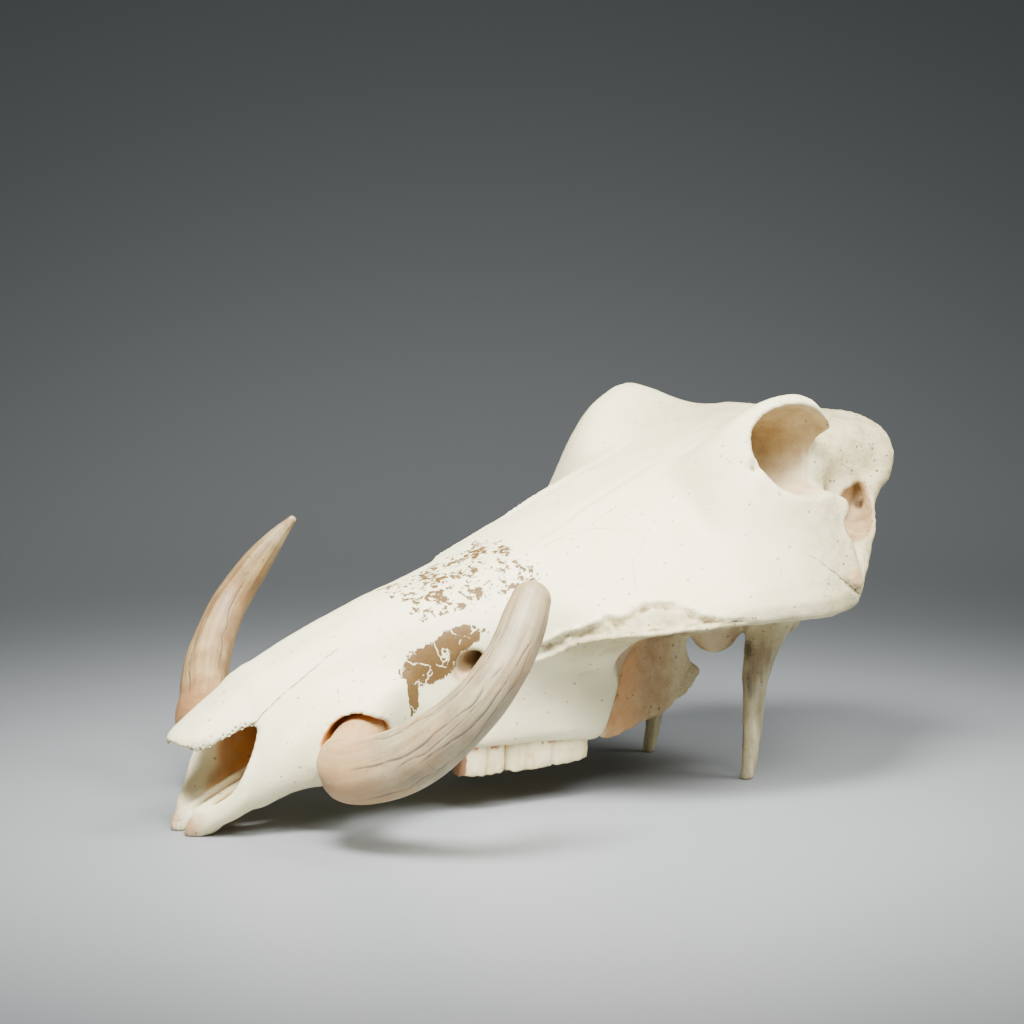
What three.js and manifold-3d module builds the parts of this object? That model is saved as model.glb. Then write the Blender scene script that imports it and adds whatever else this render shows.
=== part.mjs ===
// A warthog skull without its lower jaw, at its real size in millimetres, +Z up.
// It stands as such a skull does on a table: on the two tips of its snout and on the
// two long spikes that hang from the back of its base. +X is the animal's left side
// and the snout points along -Y. The bone is one solid. The two tusks and the four
// cheek teeth are pieces of their own, each standing in its socket.

import * as THREE from "three";
import { LoftGeometry } from "three/addons/geometries/LoftGeometry.js";
import { mergeVertices } from "three/addons/utils/BufferGeometryUtils.js";
import Module from "manifold-3d";

const wasm = await Module();
wasm.setup();

// Driving dimensions. Lengths along the skull are counted back from its front tips.
const SNOUT_TO_ORIGIN = 195.15; // from the front tips back to the middle of the skull's box
const SOCKET_GAP = 0.8; // clearance between a tooth and the wall of its socket
const BONE = { color: 0xe9e2cf, roughness: 0.62, metalness: 0 };
const IVORY = { color: 0xc9b79a, roughness: 0.38, metalness: 0 };
const ENAMEL = { color: 0xe3d3a4, roughness: 0.42, metalness: 0 };

// Half outlines of the head across its length. Each row is the distance back from the
// tips and eleven points from the crown of the head round the side to the palate, as
// [out, up]: crown, roof, brow, upper side, middle side, flare, under the flare, low
// side, gum, palate, and the middle of the palate.
const HEAD = [
  [30, [0, 71.5], [12, 70.5], [20, 64.5], [25, 56], [29, 45], [32, 34], [31, 22], [26, 15], [18, 12], [9, 11.5], [0, 12]],
  [40, [0, 77], [13, 76], [22, 69.5], [28, 60], [32, 50], [37, 41], [37, 30], [32, 21], [24, 17.5], [11, 16], [0, 17]],
  [50, [0, 82], [14, 81], [23, 74.5], [29, 65], [34, 57], [45, 50], [49, 38], [44, 27], [32, 21.5], [15, 20.5], [0, 21.5]],
  [62, [0, 87.5], [15, 86.5], [25, 79.5], [31, 70], [39, 64], [53, 59], [58, 43], [49, 28], [36, 23], [17, 23], [0, 24]],
  [76, [0, 93.5], [16, 92.5], [26, 86], [32, 76.5], [40, 71], [54, 66], [58, 50], [49, 34], [38, 27], [18, 26], [0, 28]],
  [92, [0, 100.5], [17, 98.5], [28, 92], [34, 83], [39, 75], [47, 68], [48, 53], [43, 38], [37, 29], [18, 29], [0, 32]],
  [110, [0, 107], [18, 105], [30, 98.5], [36, 89], [39, 79], [40, 68], [41, 55], [39, 43], [37, 32], [19, 32], [0, 36]],
  [130, [0, 113], [20, 111], [33, 104.5], [40, 96], [43, 86], [43, 73], [42, 60], [40, 46], [39, 33], [20, 34], [0, 39]],
  [150, [0, 120], [22, 118], [35, 111.5], [44, 103], [49, 92], [48, 79], [43, 66], [41, 50], [40, 33], [21, 36], [0, 42]],
  [168, [0, 128], [23, 126], [37, 119.5], [48, 110], [54, 98], [53, 77], [47, 71], [42, 55], [40, 33], [21, 37], [0, 44]],
  [184, [0, 134.5], [23.5, 132.5], [39, 125.5], [52, 115.5], [65, 103], [71, 88], [60, 80], [44, 62], [40, 32], [21, 37.5], [0, 45]],
  [200, [0, 141.5], [24, 139.5], [41, 132], [56, 121.5], [74, 107], [91, 91], [73, 86], [46, 66], [40, 31], [21, 38], [0, 46]],
  [213, [0, 147.5], [25, 145.5], [42, 137], [60, 126.5], [80, 111], [99, 92], [81, 88], [47, 68], [39, 30], [21, 40], [0, 47]],
  [220, [0, 150.5], [25, 149], [43, 140.5], [62, 129], [84, 112], [102, 93], [83, 89], [47, 70], [38, 35], [20, 47], [0, 54]],
  [234, [0, 156.5], [26, 155.5], [46, 146], [65, 134], [88, 115], [106, 94], [86, 90], [50, 80], [33, 68], [18, 68], [0, 68]],
  [248, [0, 162.5], [28, 161.5], [49, 152.5], [68, 141], [91, 120], [108, 95], [88, 92], [52, 84], [30, 77], [15, 76], [0, 76]],
  [256, [0, 166], [30, 165.5], [52, 158], [70, 145], [93, 124], [109, 95], [90, 92], [52, 84], [28, 79], [14, 77], [0, 77]],
  [263, [0, 168.5], [32, 168.5], [57, 170], [76, 154], [95, 127], [109, 95], [90, 92], [52, 84], [28, 79], [14, 77], [0, 77]],
  [271, [0, 171], [33, 172], [61, 181.5], [79.5, 164], [96, 131], [109, 95], [90, 92], [52, 85], [28, 79], [14, 77], [0, 77]],
  [281, [0, 175], [35, 176.5], [65, 192], [80, 177], [97, 135], [109, 95], [90, 92], [52, 85], [28, 79], [14, 77], [0, 77]],
  [292, [0, 180], [36, 182], [68, 199], [80, 185], [97, 138], [109, 95], [90, 92], [52, 86], [28, 80], [14, 77], [0, 77]],
  [303, [0, 184], [37, 187], [71, 203.5], [81, 190], [97, 139], [109, 95], [90, 92], [52, 87], [28, 80], [14, 77], [0, 77]],
  [315, [0, 187.5], [38, 189], [73, 204.5], [82, 190], [97, 139], [107.5, 96], [90, 92], [52, 87], [28, 80], [14, 77], [0, 77]],
  [326, [0, 191.5], [36, 191.5], [73, 200.5], [82, 187], [95, 137], [104.5, 98], [88, 92], [52, 87], [30, 80], [14, 78], [0, 78]],
  [336, [0, 193], [34, 193], [63, 193.5], [80, 180], [92, 135], [100.5, 101], [86, 93], [52, 87], [32, 80], [15, 79], [0, 79]],
  [343, [0, 195], [30, 194.5], [43, 187.5], [50, 172], [63, 148], [96, 114], [80, 96], [54, 88], [34, 82], [16, 81], [0, 82]],
  [352, [0, 194], [28, 193], [42, 186], [50, 169], [63, 153], [89, 122], [76, 105], [54, 92], [34, 88], [16, 88], [0, 90]],
  [362, [0, 193], [28, 192], [46, 184.5], [53, 169], [61, 156], [81, 134], [69, 118], [52, 106], [34, 103], [16, 105], [0, 107]],
  [374, [0, 191.5], [33, 190.5], [50, 184], [57, 171], [59, 159], [66, 147], [60, 138], [46, 130], [30, 128], [15, 130], [0, 132]],
  [384, [0, 190], [35, 189], [51, 182.5], [58, 171], [58, 162], [56, 156], [51, 152], [40, 152], [27, 155], [14, 159], [0, 161]],
];

// The hollow inside each cheek, where the jaw muscles ran. Each row is the distance
// back and eight points: along the top from inside to outside, down the outer wall,
// and back along the inner one.
const CHEEK_HOLLOW = [
  [222, [52, 96], [60, 99], [70, 97], [80, 90], [86, 82], [84, 60], [48, 60], [46, 80]],
  [232, [48, 104], [58, 112], [70, 112], [84, 99], [94, 84], [92, 50], [38, 50], [42, 85]],
  [246, [46, 114], [57, 124], [72, 123], [86, 109], [98, 86], [98, 45], [32, 45], [38, 88]],
  [264, [46, 124], [57, 135], [73, 134], [86, 120], [100, 88], [100, 45], [34, 45], [40, 90]],
  [284, [46, 132], [58, 142], [75, 143], [88, 126], [101, 88], [101, 45], [38, 45], [42, 92]],
  [304, [46, 136], [58, 146], [76, 146], [89, 130], [100, 88], [100, 45], [50, 45], [46, 92]],
  [320, [48, 138], [58, 147], [74, 146], [87, 128], [97, 92], [96, 60], [56, 60], [49, 92]],
  [332, [50, 140], [56, 146], [63, 143], [67, 132], [70, 114], [66, 104], [58, 102], [51, 112]],
  [342, [50, 134], [53, 138], [57, 136], [58, 130], [58, 122], [57, 117], [54, 115], [51, 120]],
];

// The gap in the rim behind each eye socket, open to the hollow of the cheek.
const TEMPLE_GAP = [
  [323, [66, 168], [88, 170], [100, 164], [94, 157], [70, 160]],
  [331, [62, 174], [88, 177], [102, 166], [92, 153], [64, 158]],
  [339, [58, 182], [88, 188], [103, 168], [92, 149], [60, 156]],
  [347, [58, 184], [84, 186], [96, 168], [90, 150], [62, 156]],
];

// The nose passage: distance back, then seven points from its roof round to its floor.
const NOSE_PASSAGE = [
  [20, [0, 58], [12, 54], [17, 49], [19, 40], [17, 24], [11, 14], [0, 12]],
  [34, [0, 68], [12, 66], [19, 57], [22, 44], [20, 26], [12, 17], [0, 15]],
  [50, [0, 78], [14, 76], [21, 66], [23, 52], [22, 36], [13, 28], [0, 26]],
  [80, [0, 90], [15, 88], [23, 78], [25, 65], [24, 50], [14, 40], [0, 38]],
  [120, [0, 105], [16, 103], [25, 93], [28, 79], [27, 64], [16, 53], [0, 50]],
  [170, [0, 122], [16, 120], [25, 110], [28, 95], [28, 78], [18, 64], [0, 60]],
  [206, [0, 118], [16, 116], [22, 108], [23, 97], [21, 84], [14, 72], [0, 68]],
];

// The overhanging roof of the nose: distance back, then six points of a thin arch.
const NOSE_ROOF = [
  [-6.5, [0, 47], [2.5, 46.5], [4, 45.2], [3.5, 43.8], [2, 44], [0, 44.5]],
  [-3, [0, 49.5], [6, 48.5], [10, 46], [11, 42.5], [5, 44.5], [0, 45.5]],
  [1, [0, 52], [8.5, 51], [14.5, 47], [16, 40.5], [10, 45.5], [0, 48]],
  [12, [0, 59.5], [10.5, 58.5], [17, 53.5], [20, 46.5], [12, 52], [0, 55]],
  [24, [0, 67.5], [11.5, 66.5], [19, 60.5], [24, 52], [13, 59], [0, 63]],
  [32, [0, 72], [12, 71], [20, 64.5], [25, 55], [14, 62], [0, 66]],
  [40, [0, 76], [12, 75], [20, 69], [24, 60], [14, 66], [0, 70]],
];

// The front jaw bones as one trough: distance back, then seven points.
const FRONT_JAW = [
  [4, [0, 8], [9, 11], [14, 13.5], [17, 8.5], [16, 4], [10, 1.5], [0, 1.5]],
  [9.5, [0, 9], [13, 13], [20, 17.5], [22.5, 11.5], [20, 6.5], [11, 3], [0, 3]],
  [14.5, [0, 10], [18, 17], [25.5, 23], [28, 16], [24, 9.5], [13, 5], [0, 4.5]],
  [18, [0, 11], [21, 21], [28.5, 30.5], [31, 21], [27, 12], [14, 6.5], [0, 6.5]],
  [22, [0, 12], [22, 25], [28, 38.5], [31.5, 27], [28, 14.5], [15, 8.5], [0, 8]],
  [28, [0, 13], [22, 27], [26, 50], [32.5, 32], [30, 18], [16, 11.5], [0, 11]],
  [38, [0, 16], [22, 29], [27, 54], [34, 37], [33, 24], [17, 16.5], [0, 16]],
];

// Limbs: each row is a point [out, back, up] and the two half widths of the section.
const SOCKET_PATH = [
  [38, 84, 53, 10.5, 10],
  [47, 71, 46.5, 12.4, 11.9],
  [57, 61, 41.8, 13.8, 13.3],
  [66, 53.8, 38.7, 14.5, 14.1],
  [74, 50.4, 37.3, 14.8, 14.4],
];
const LEFT_TUSK = [
  [82.5, 50.5, 37.7, 15.1, 14.8],
  [91.5, 54.6, 40.2, 15.6, 15.2],
  [101, 60.5, 44.2, 15.6, 15],
  [112.5, 66.6, 51, 14.8, 14.2],
  [122.3, 73, 59.8, 13.7, 13],
  [129, 79.4, 68.2, 12.7, 12],
  [134, 86, 77.2, 12, 11.4],
  [136.3, 93, 87, 11.4, 10.9],
  [136.3, 99.3, 95.6, 11, 10.6],
  [135.3, 104.4, 103.6, 10.8, 10.4],
  [133, 109.4, 111.5, 10.4, 10],
  [130.2, 114.4, 119, 9.2, 8.8],
];
const RIGHT_TUSK = [
  [82.5, 50.5, 37.7, 13.8, 13.6],
  [91.5, 54.6, 40.2, 13.3, 13.1],
  [101, 60.5, 44.2, 13.1, 12.8],
  [112.5, 66.6, 51, 13.1, 12.6],
  [122.3, 73, 59.8, 12.6, 12],
  [129, 79.4, 68.2, 11.8, 11.2],
  [134, 86, 77.2, 11, 10.4],
  [137.4, 93, 87, 10.3, 9.8],
  [137.4, 99.3, 95.6, 9.7, 9.2],
  [135.3, 104.4, 103.6, 9, 8.6],
  [133, 109.4, 111.5, 8, 7.6],
  [130, 115, 119.6, 6.4, 6],
  [126.3, 120.4, 127.5, 4.2, 4],
  [122.8, 124.8, 133.4, 2.4, 2.2],
];
const FRONT_TIP = [
  [8.6, 9, 6.5, 6, 5.5],
  [7.8, 3.5, 3.8, 5.4, 4.6],
  [7.3, 0.5, 2, 3.8, 3.3],
];
const ORBIT = [
  [36, 306, 170, 9, 8],
  [47, 307, 172, 15, 14],
  [60, 309, 174, 19.5, 18],
  [76, 309.5, 176.5, 27.5, 22.5],
  [102, 311, 176, 30, 24],
];
// The bulge of the brain case behind the eye, on the inner wall of the temple.
const TEMPLE_BULGE = [
  [47, 372, 172, 9, 13],
  [49, 354, 167, 9, 14],
  [50.5, 341, 163, 9, 13],
  [51.5, 329, 156, 7.5, 9],
];
const THROAT_SPIKE = [
  [34, 338, 100, 13, 11],
  [38, 327, 84, 12, 10],
  [41, 317, 66, 9, 7.5],
  [43, 312, 45, 6.5, 5.6],
  [44, 310, 22, 5, 4.6],
  [44.5, 308, 8, 3.8, 3.6],
  [44.5, 305, -3, 3.2, 3],
];
const NECK_CREST = [
  [58, 376, 152, 4, 4],
  [57.5, 385, 160, 5, 5],
  [53, 390, 170.5, 6.2, 6.2],
  [45, 390.5, 179.5, 6, 6],
  [31, 387, 184.5, 5, 5],
  [0, 382, 185.5, 4, 4],
];
const EAR_PASSAGE = [
  [88, 346, 140, 9, 10],
  [76, 355, 143, 9, 10],
  [66, 362, 147, 6, 8],
  [57, 367, 151, 3, 5],
];
const EAR_BULLA = { at: [28, 297, 83.5], size: [11, 16, 17] };
const NECK_JOINT = { at: [20, 347, 85], size: [12, 13, 15] };
const SKULL_BASE = [
  [0, 282, 82, 13, 7],
  [0, 320, 84, 15, 8],
  [0, 352, 92, 17, 9],
];
const NECK_HOLE = [
  [0, 380, 100, 14, 14],
  [0, 356, 104, 12.5, 12.5],
  [0, 322, 118, 11, 11],
];
const THROAT_PASSAGE = [
  [0, 250, 58, 19, 14],
  [0, 224, 61, 18, 13],
  [0, 196, 74, 16, 11],
];
const CHEEK_NERVE_HOLE = [
  [52, 124, 73, 5.5, 7],
  [42, 136, 77, 5, 6],
  [34, 156, 84, 4.5, 5],
];

// The wing of bone behind each tooth row, seen from the side as [back, up].
const PALATE_WING = {
  outline: [[212, 40], [224, 27], [246, 33], [264, 37], [277, 44], [287, 51], [291, 57], [286, 61], [281, 70], [280, 86], [250, 90], [214, 80]],
  thickness: 3.4,
  out_at_front: 32,
  out_per_back: -0.1,
};

// The cheek teeth of one side: from and to along the skull, and the biting face's height.
const CHEEK_TEETH = [
  { name: "second_molar", from: 134.5, to: 160.2, bite: 18.5, root: 44 },
  { name: "third_molar", from: 161.2, to: 211, bite: 18, root: 46 },
];
const TOOTH_IN = 24.5; // the crown's inner face from the middle of the palate
const TOOTH_OUT = 38.5;

// The value of a table's row at any distance back: each point follows a smooth curve
// whose slope at a row is that of the line between the row's two neighbours.
function rowAt(table, back) {
  let i = 0;
  while (i < table.length - 2 && back > table[i + 1][0]) i++;
  const [a, b] = [table[i], table[i + 1]];
  const before = table[Math.max(i - 1, 0)];
  const after = table[Math.min(i + 2, table.length - 1)];
  const span = b[0] - a[0];
  const t = (back - a[0]) / span;
  return a.slice(1).map((p, k) =>
    [0, 1].map((c) => {
      const slopeA = ((b[k + 1][c] - before[k + 1][c]) / (b[0] - before[0])) * span;
      const slopeB = ((after[k + 1][c] - p[c]) / (after[0] - a[0])) * span;
      const change = b[k + 1][c] - p[c];
      return p[c] + t * slopeA + t * t * (3 * change - 2 * slopeA - slopeB)
        + t * t * t * (slopeA + slopeB - 2 * change);
    }),
  );
}

// The distances back at which a table's loft has a ring: its rows and steps between.
function ringPlaces(table, step) {
  const places = [];
  for (let i = 0; i < table.length - 1; i++) {
    const count = Math.max(1, Math.round((table[i + 1][0] - table[i][0]) / step));
    for (let k = 0; k < count; k++) {
      places.push(table[i][0] + ((table[i + 1][0] - table[i][0]) * k) / count);
    }
  }
  places.push(table.at(-1)[0]);
  return places;
}

// A closed ring through the points, with `between` points to each stretch.
function ring(points, back, between) {
  const curve = new THREE.CatmullRomCurve3(
    points.map(([out, up]) => new THREE.Vector3(out, back, up)), true, "centripetal");
  const made = [];
  for (let i = 0; i < points.length * between; i++) {
    made.push(curve.getPoint(i / (points.length * between)));
  }
  return made;
}

// Half outlines mirrored over the middle into whole rings, and lofted.
function symmetricLoft(table, step, between) {
  return loft(ringPlaces(table, step).map((back) => {
    const half = rowAt(table, back);
    const first = half[0][0] < 0.01 ? 1 : 0;
    const last = half.at(-1)[0] < 0.01 ? half.length - 1 : half.length;
    const mirrored = half.slice(first, last).reverse().map(([out, up]) => [-out, up]);
    return ring([...half, ...mirrored], back, between);
  }));
}

// Whole outlines of something that lies on one side of the head.
function sideLoft(table, step, between) {
  return loft(ringPlaces(table, step).map((back) => ring(rowAt(table, back), back, between)));
}

function loft(sections) {
  return solid(new LoftGeometry(sections, { capStart: true, capEnd: true }));
}

// A limb with an oval section: the rings follow the curve through the rows' points,
// and each end closes over a half oval. `extra` widens it all over.
function limb(rows, steps, sides, extra = 0) {
  const path = new THREE.CatmullRomCurve3(
    rows.map(([out, back, up]) => new THREE.Vector3(out, back, up)), false, "centripetal");
  const widthAt = (t) => {
    const place = t * (rows.length - 1);
    const i = Math.min(Math.floor(place), rows.length - 2);
    return [3, 4].map((c) => THREE.MathUtils.lerp(rows[i][c], rows[i + 1][c], place - i) + extra);
  };
  const sections = [];
  const addRing = (t, shift, scale) => {
    const centre = path.getPoint(t);
    const along = path.getTangent(t);
    const across = new THREE.Vector3(0, 1, 0);
    if (Math.abs(along.y) > 0.9) across.set(1, 0, 0);
    across.addScaledVector(along, -across.dot(along)).normalize();
    const over = new THREE.Vector3().crossVectors(along, across);
    const [a, b] = widthAt(t);
    centre.addScaledVector(along, shift * Math.min(a, b));
    const points = [];
    for (let k = 0; k < sides; k++) {
      const angle = (2 * Math.PI * k) / sides;
      points.push(centre.clone()
        .addScaledVector(across, a * scale * Math.cos(angle))
        .addScaledVector(over, b * scale * Math.sin(angle)));
    }
    sections.push(points);
  };
  const capAngles = [0.25, 0.65];
  for (const share of capAngles) {
    const angle = (share * Math.PI) / 2;
    addRing(0, -Math.cos(angle), Math.sin(angle));
  }
  for (let k = 0; k <= steps; k++) addRing(k / steps, 0, 1);
  for (const share of capAngles.toReversed()) {
    const angle = (share * Math.PI) / 2;
    addRing(1, Math.cos(angle), Math.sin(angle));
  }
  return loft(sections);
}

function ball({ at, size }) {
  const shape = new THREE.SphereGeometry(1, 10, 7);
  shape.scale(...size).translate(...at);
  return solid(shape);
}

// A closed three.js geometry as a solid that can be joined and cut.
function solid(geometry) {
  const bare = new THREE.BufferGeometry();
  bare.setAttribute("position", geometry.getAttribute("position"));
  bare.setIndex(geometry.getIndex());
  const merged = mergeVertices(bare, 1e-4);
  const corners = new Uint32Array(merged.index.array);
  const make = () => new wasm.Manifold(new wasm.Mesh({
    numProp: 3,
    vertProperties: new Float32Array(merged.attributes.position.array),
    triVerts: corners,
  }));
  const made = make();
  if (made.volume() > 0) return made;
  for (let i = 0; i < corners.length; i += 3) {
    [corners[i], corners[i + 1]] = [corners[i + 1], corners[i]];
  }
  return make();
}

const otherSide = (piece) => piece.mirror([1, 0, 0]);
const bothSides = (piece) => piece.add(otherSide(piece));

// A flat wing of bone: its outline extruded and leaned in towards the back.
function palateWing() {
  const { outline, thickness, out_at_front, out_per_back } = PALATE_WING;
  const shape = new THREE.Shape(outline.map(([back, up]) => new THREE.Vector2(back, up)));
  const plate = new THREE.ExtrudeGeometry(shape, { depth: thickness, bevelEnabled: false });
  const start = outline[0][0];
  plate.applyMatrix4(new THREE.Matrix4().set(
    out_per_back, 0, 1, out_at_front - start * out_per_back,
    1, 0, 0, 0,
    0, 1, 0, 0,
    0, 0, 0, 1));
  return solid(plate);
}

// A cheek tooth: a crown of rounded lobes, each a cut cylinder, on one straight root.
function cheekTooth({ from, to, bite, root }, extra = 0) {
  const lobes = Math.round((to - from) / 12.5);
  const pitch = (to - from) / lobes;
  let tooth = null;
  for (let k = 0; k < lobes; k++) {
    const lobe = new THREE.CylinderGeometry(1, 1, root - bite + 2 * extra, 8);
    lobe.rotateX(Math.PI / 2);
    lobe.scale((TOOTH_OUT - TOOTH_IN) / 2 + extra, pitch * 0.56 + extra, 1);
    lobe.translate((TOOTH_IN + TOOTH_OUT) / 2, from + pitch * (k + 0.5), (root + bite) / 2);
    tooth = tooth ? tooth.add(solid(lobe)) : solid(lobe);
  }
  const trim = new THREE.BoxGeometry(60, to - from + 2 * extra, 80);
  trim.translate(32, (from + to) / 2, (root + bite) / 2);
  return tooth.intersect(solid(trim));
}

function cranium() {
  const socket = limb([...SOCKET_PATH, ...LEFT_TUSK.slice(0, 3)], 6, 12, SOCKET_GAP);
  let bone = symmetricLoft(HEAD, 14, 2)
    .add(symmetricLoft(NOSE_ROOF, 14, 2))
    .add(symmetricLoft(FRONT_JAW, 8, 2))
    .add(bothSides(limb(FRONT_TIP, 3, 8)))
    .add(bothSides(limb(NECK_CREST, 6, 7)))
    .add(bothSides(limb(THROAT_SPIKE, 7, 8)))
    .add(bothSides(ball(EAR_BULLA)))
    .add(bothSides(ball(NECK_JOINT)))
    .add(limb(SKULL_BASE, 3, 8));
  bone = bone
    .subtract(bothSides(sideLoft(CHEEK_HOLLOW, 18, 2)))
    .subtract(bothSides(sideLoft(TEMPLE_GAP, 18, 2)))
    .subtract(bothSides(limb(ORBIT, 5, 14)))
    .subtract(symmetricLoft(NOSE_PASSAGE, 60, 2))
    .subtract(limb(THROAT_PASSAGE, 3, 10))
    .subtract(limb(NECK_HOLE, 3, 10))
    .subtract(bothSides(limb(CHEEK_NERVE_HOLE, 2, 8)))
    .subtract(bothSides(limb(EAR_PASSAGE, 3, 8)))
    .add(bothSides(limb(TEMPLE_BULGE, 4, 8)))
    .add(bothSides(palateWing()))
    .subtract(bothSides(socket));
  for (const tooth of CHEEK_TEETH) {
    bone = bone.subtract(bothSides(cheekTooth(tooth, SOCKET_GAP)));
  }
  return bone.subtract(floorCut());
}

// Everything under the surface that the skull stands on.
function floorCut() {
  const slab = new THREE.BoxGeometry(600, 900, 60);
  slab.translate(0, 200, -30);
  return solid(slab);
}

function named(name, finish, piece) {
  const { vertProperties, triVerts } = piece.getMesh();
  const shape = new THREE.BufferGeometry();
  shape.setAttribute("position", new THREE.BufferAttribute(vertProperties, 3));
  shape.setIndex(new THREE.BufferAttribute(triVerts, 1));
  shape.computeVertexNormals();
  const mesh = new THREE.Mesh(shape, new THREE.MeshStandardMaterial(finish));
  mesh.name = name;
  return mesh;
}

const skull = new THREE.Group();
skull.position.y = -SNOUT_TO_ORIGIN;
skull.add(named("cranium", BONE, cranium()));
skull.add(named("tusk_left", IVORY, limb([...SOCKET_PATH, ...LEFT_TUSK], 14, 12)));
skull.add(named("tusk_right", IVORY, otherSide(limb([...SOCKET_PATH, ...RIGHT_TUSK], 15, 12))));
for (const tooth of CHEEK_TEETH) {
  skull.add(named(`${tooth.name}_left`, ENAMEL, cheekTooth(tooth)));
  skull.add(named(`${tooth.name}_right`, ENAMEL, otherSide(cheekTooth(tooth))));
}

export default skull;
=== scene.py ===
"""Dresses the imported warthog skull: the bone, both tusks and the four cheek teeth.

The bone's surface is the zero level of a distance field. Each of its forms is a profile carried
along a path, and the forms are joined and cut with soft edges, as bone grows together. The tusks
and the teeth are swept surfaces. All tables are in millimetres, counted back from the front tips.
"""

from __future__ import annotations

import logging
import math
from dataclasses import dataclass, field
from enum import Enum

import bpy
import numpy as np
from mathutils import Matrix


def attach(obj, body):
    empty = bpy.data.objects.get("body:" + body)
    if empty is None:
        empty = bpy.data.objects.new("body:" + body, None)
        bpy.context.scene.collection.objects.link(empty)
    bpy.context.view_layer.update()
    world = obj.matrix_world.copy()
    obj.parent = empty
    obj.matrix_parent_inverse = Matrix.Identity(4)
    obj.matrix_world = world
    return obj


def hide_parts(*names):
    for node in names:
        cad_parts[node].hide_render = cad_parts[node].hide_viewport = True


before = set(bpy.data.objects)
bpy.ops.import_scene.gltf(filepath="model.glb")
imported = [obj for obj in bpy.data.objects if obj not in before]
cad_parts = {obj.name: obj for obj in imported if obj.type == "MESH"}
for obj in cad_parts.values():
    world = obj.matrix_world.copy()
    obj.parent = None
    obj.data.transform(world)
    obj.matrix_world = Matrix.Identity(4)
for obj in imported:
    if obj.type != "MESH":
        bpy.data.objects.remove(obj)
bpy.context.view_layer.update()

LOG = logging.getLogger("skull")
MM = 0.001
SNOUT_TO_ORIGIN = 195.15  # from the front tips back to the middle of the skull's box
CELL = 1.5  # spacing of the grid that the bone's surface is worked out on

Rows = tuple[tuple[float, ...], ...]
Spot = tuple[float, float, float]
Colour = tuple[float, float, float]

# How far the grid of the bone's surface reaches: out, back and up.
GRID_REACH = ((0, 114), (-12, 402), (-4, 210))
FAR = 60.0  # the field's value where no form is near

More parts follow.
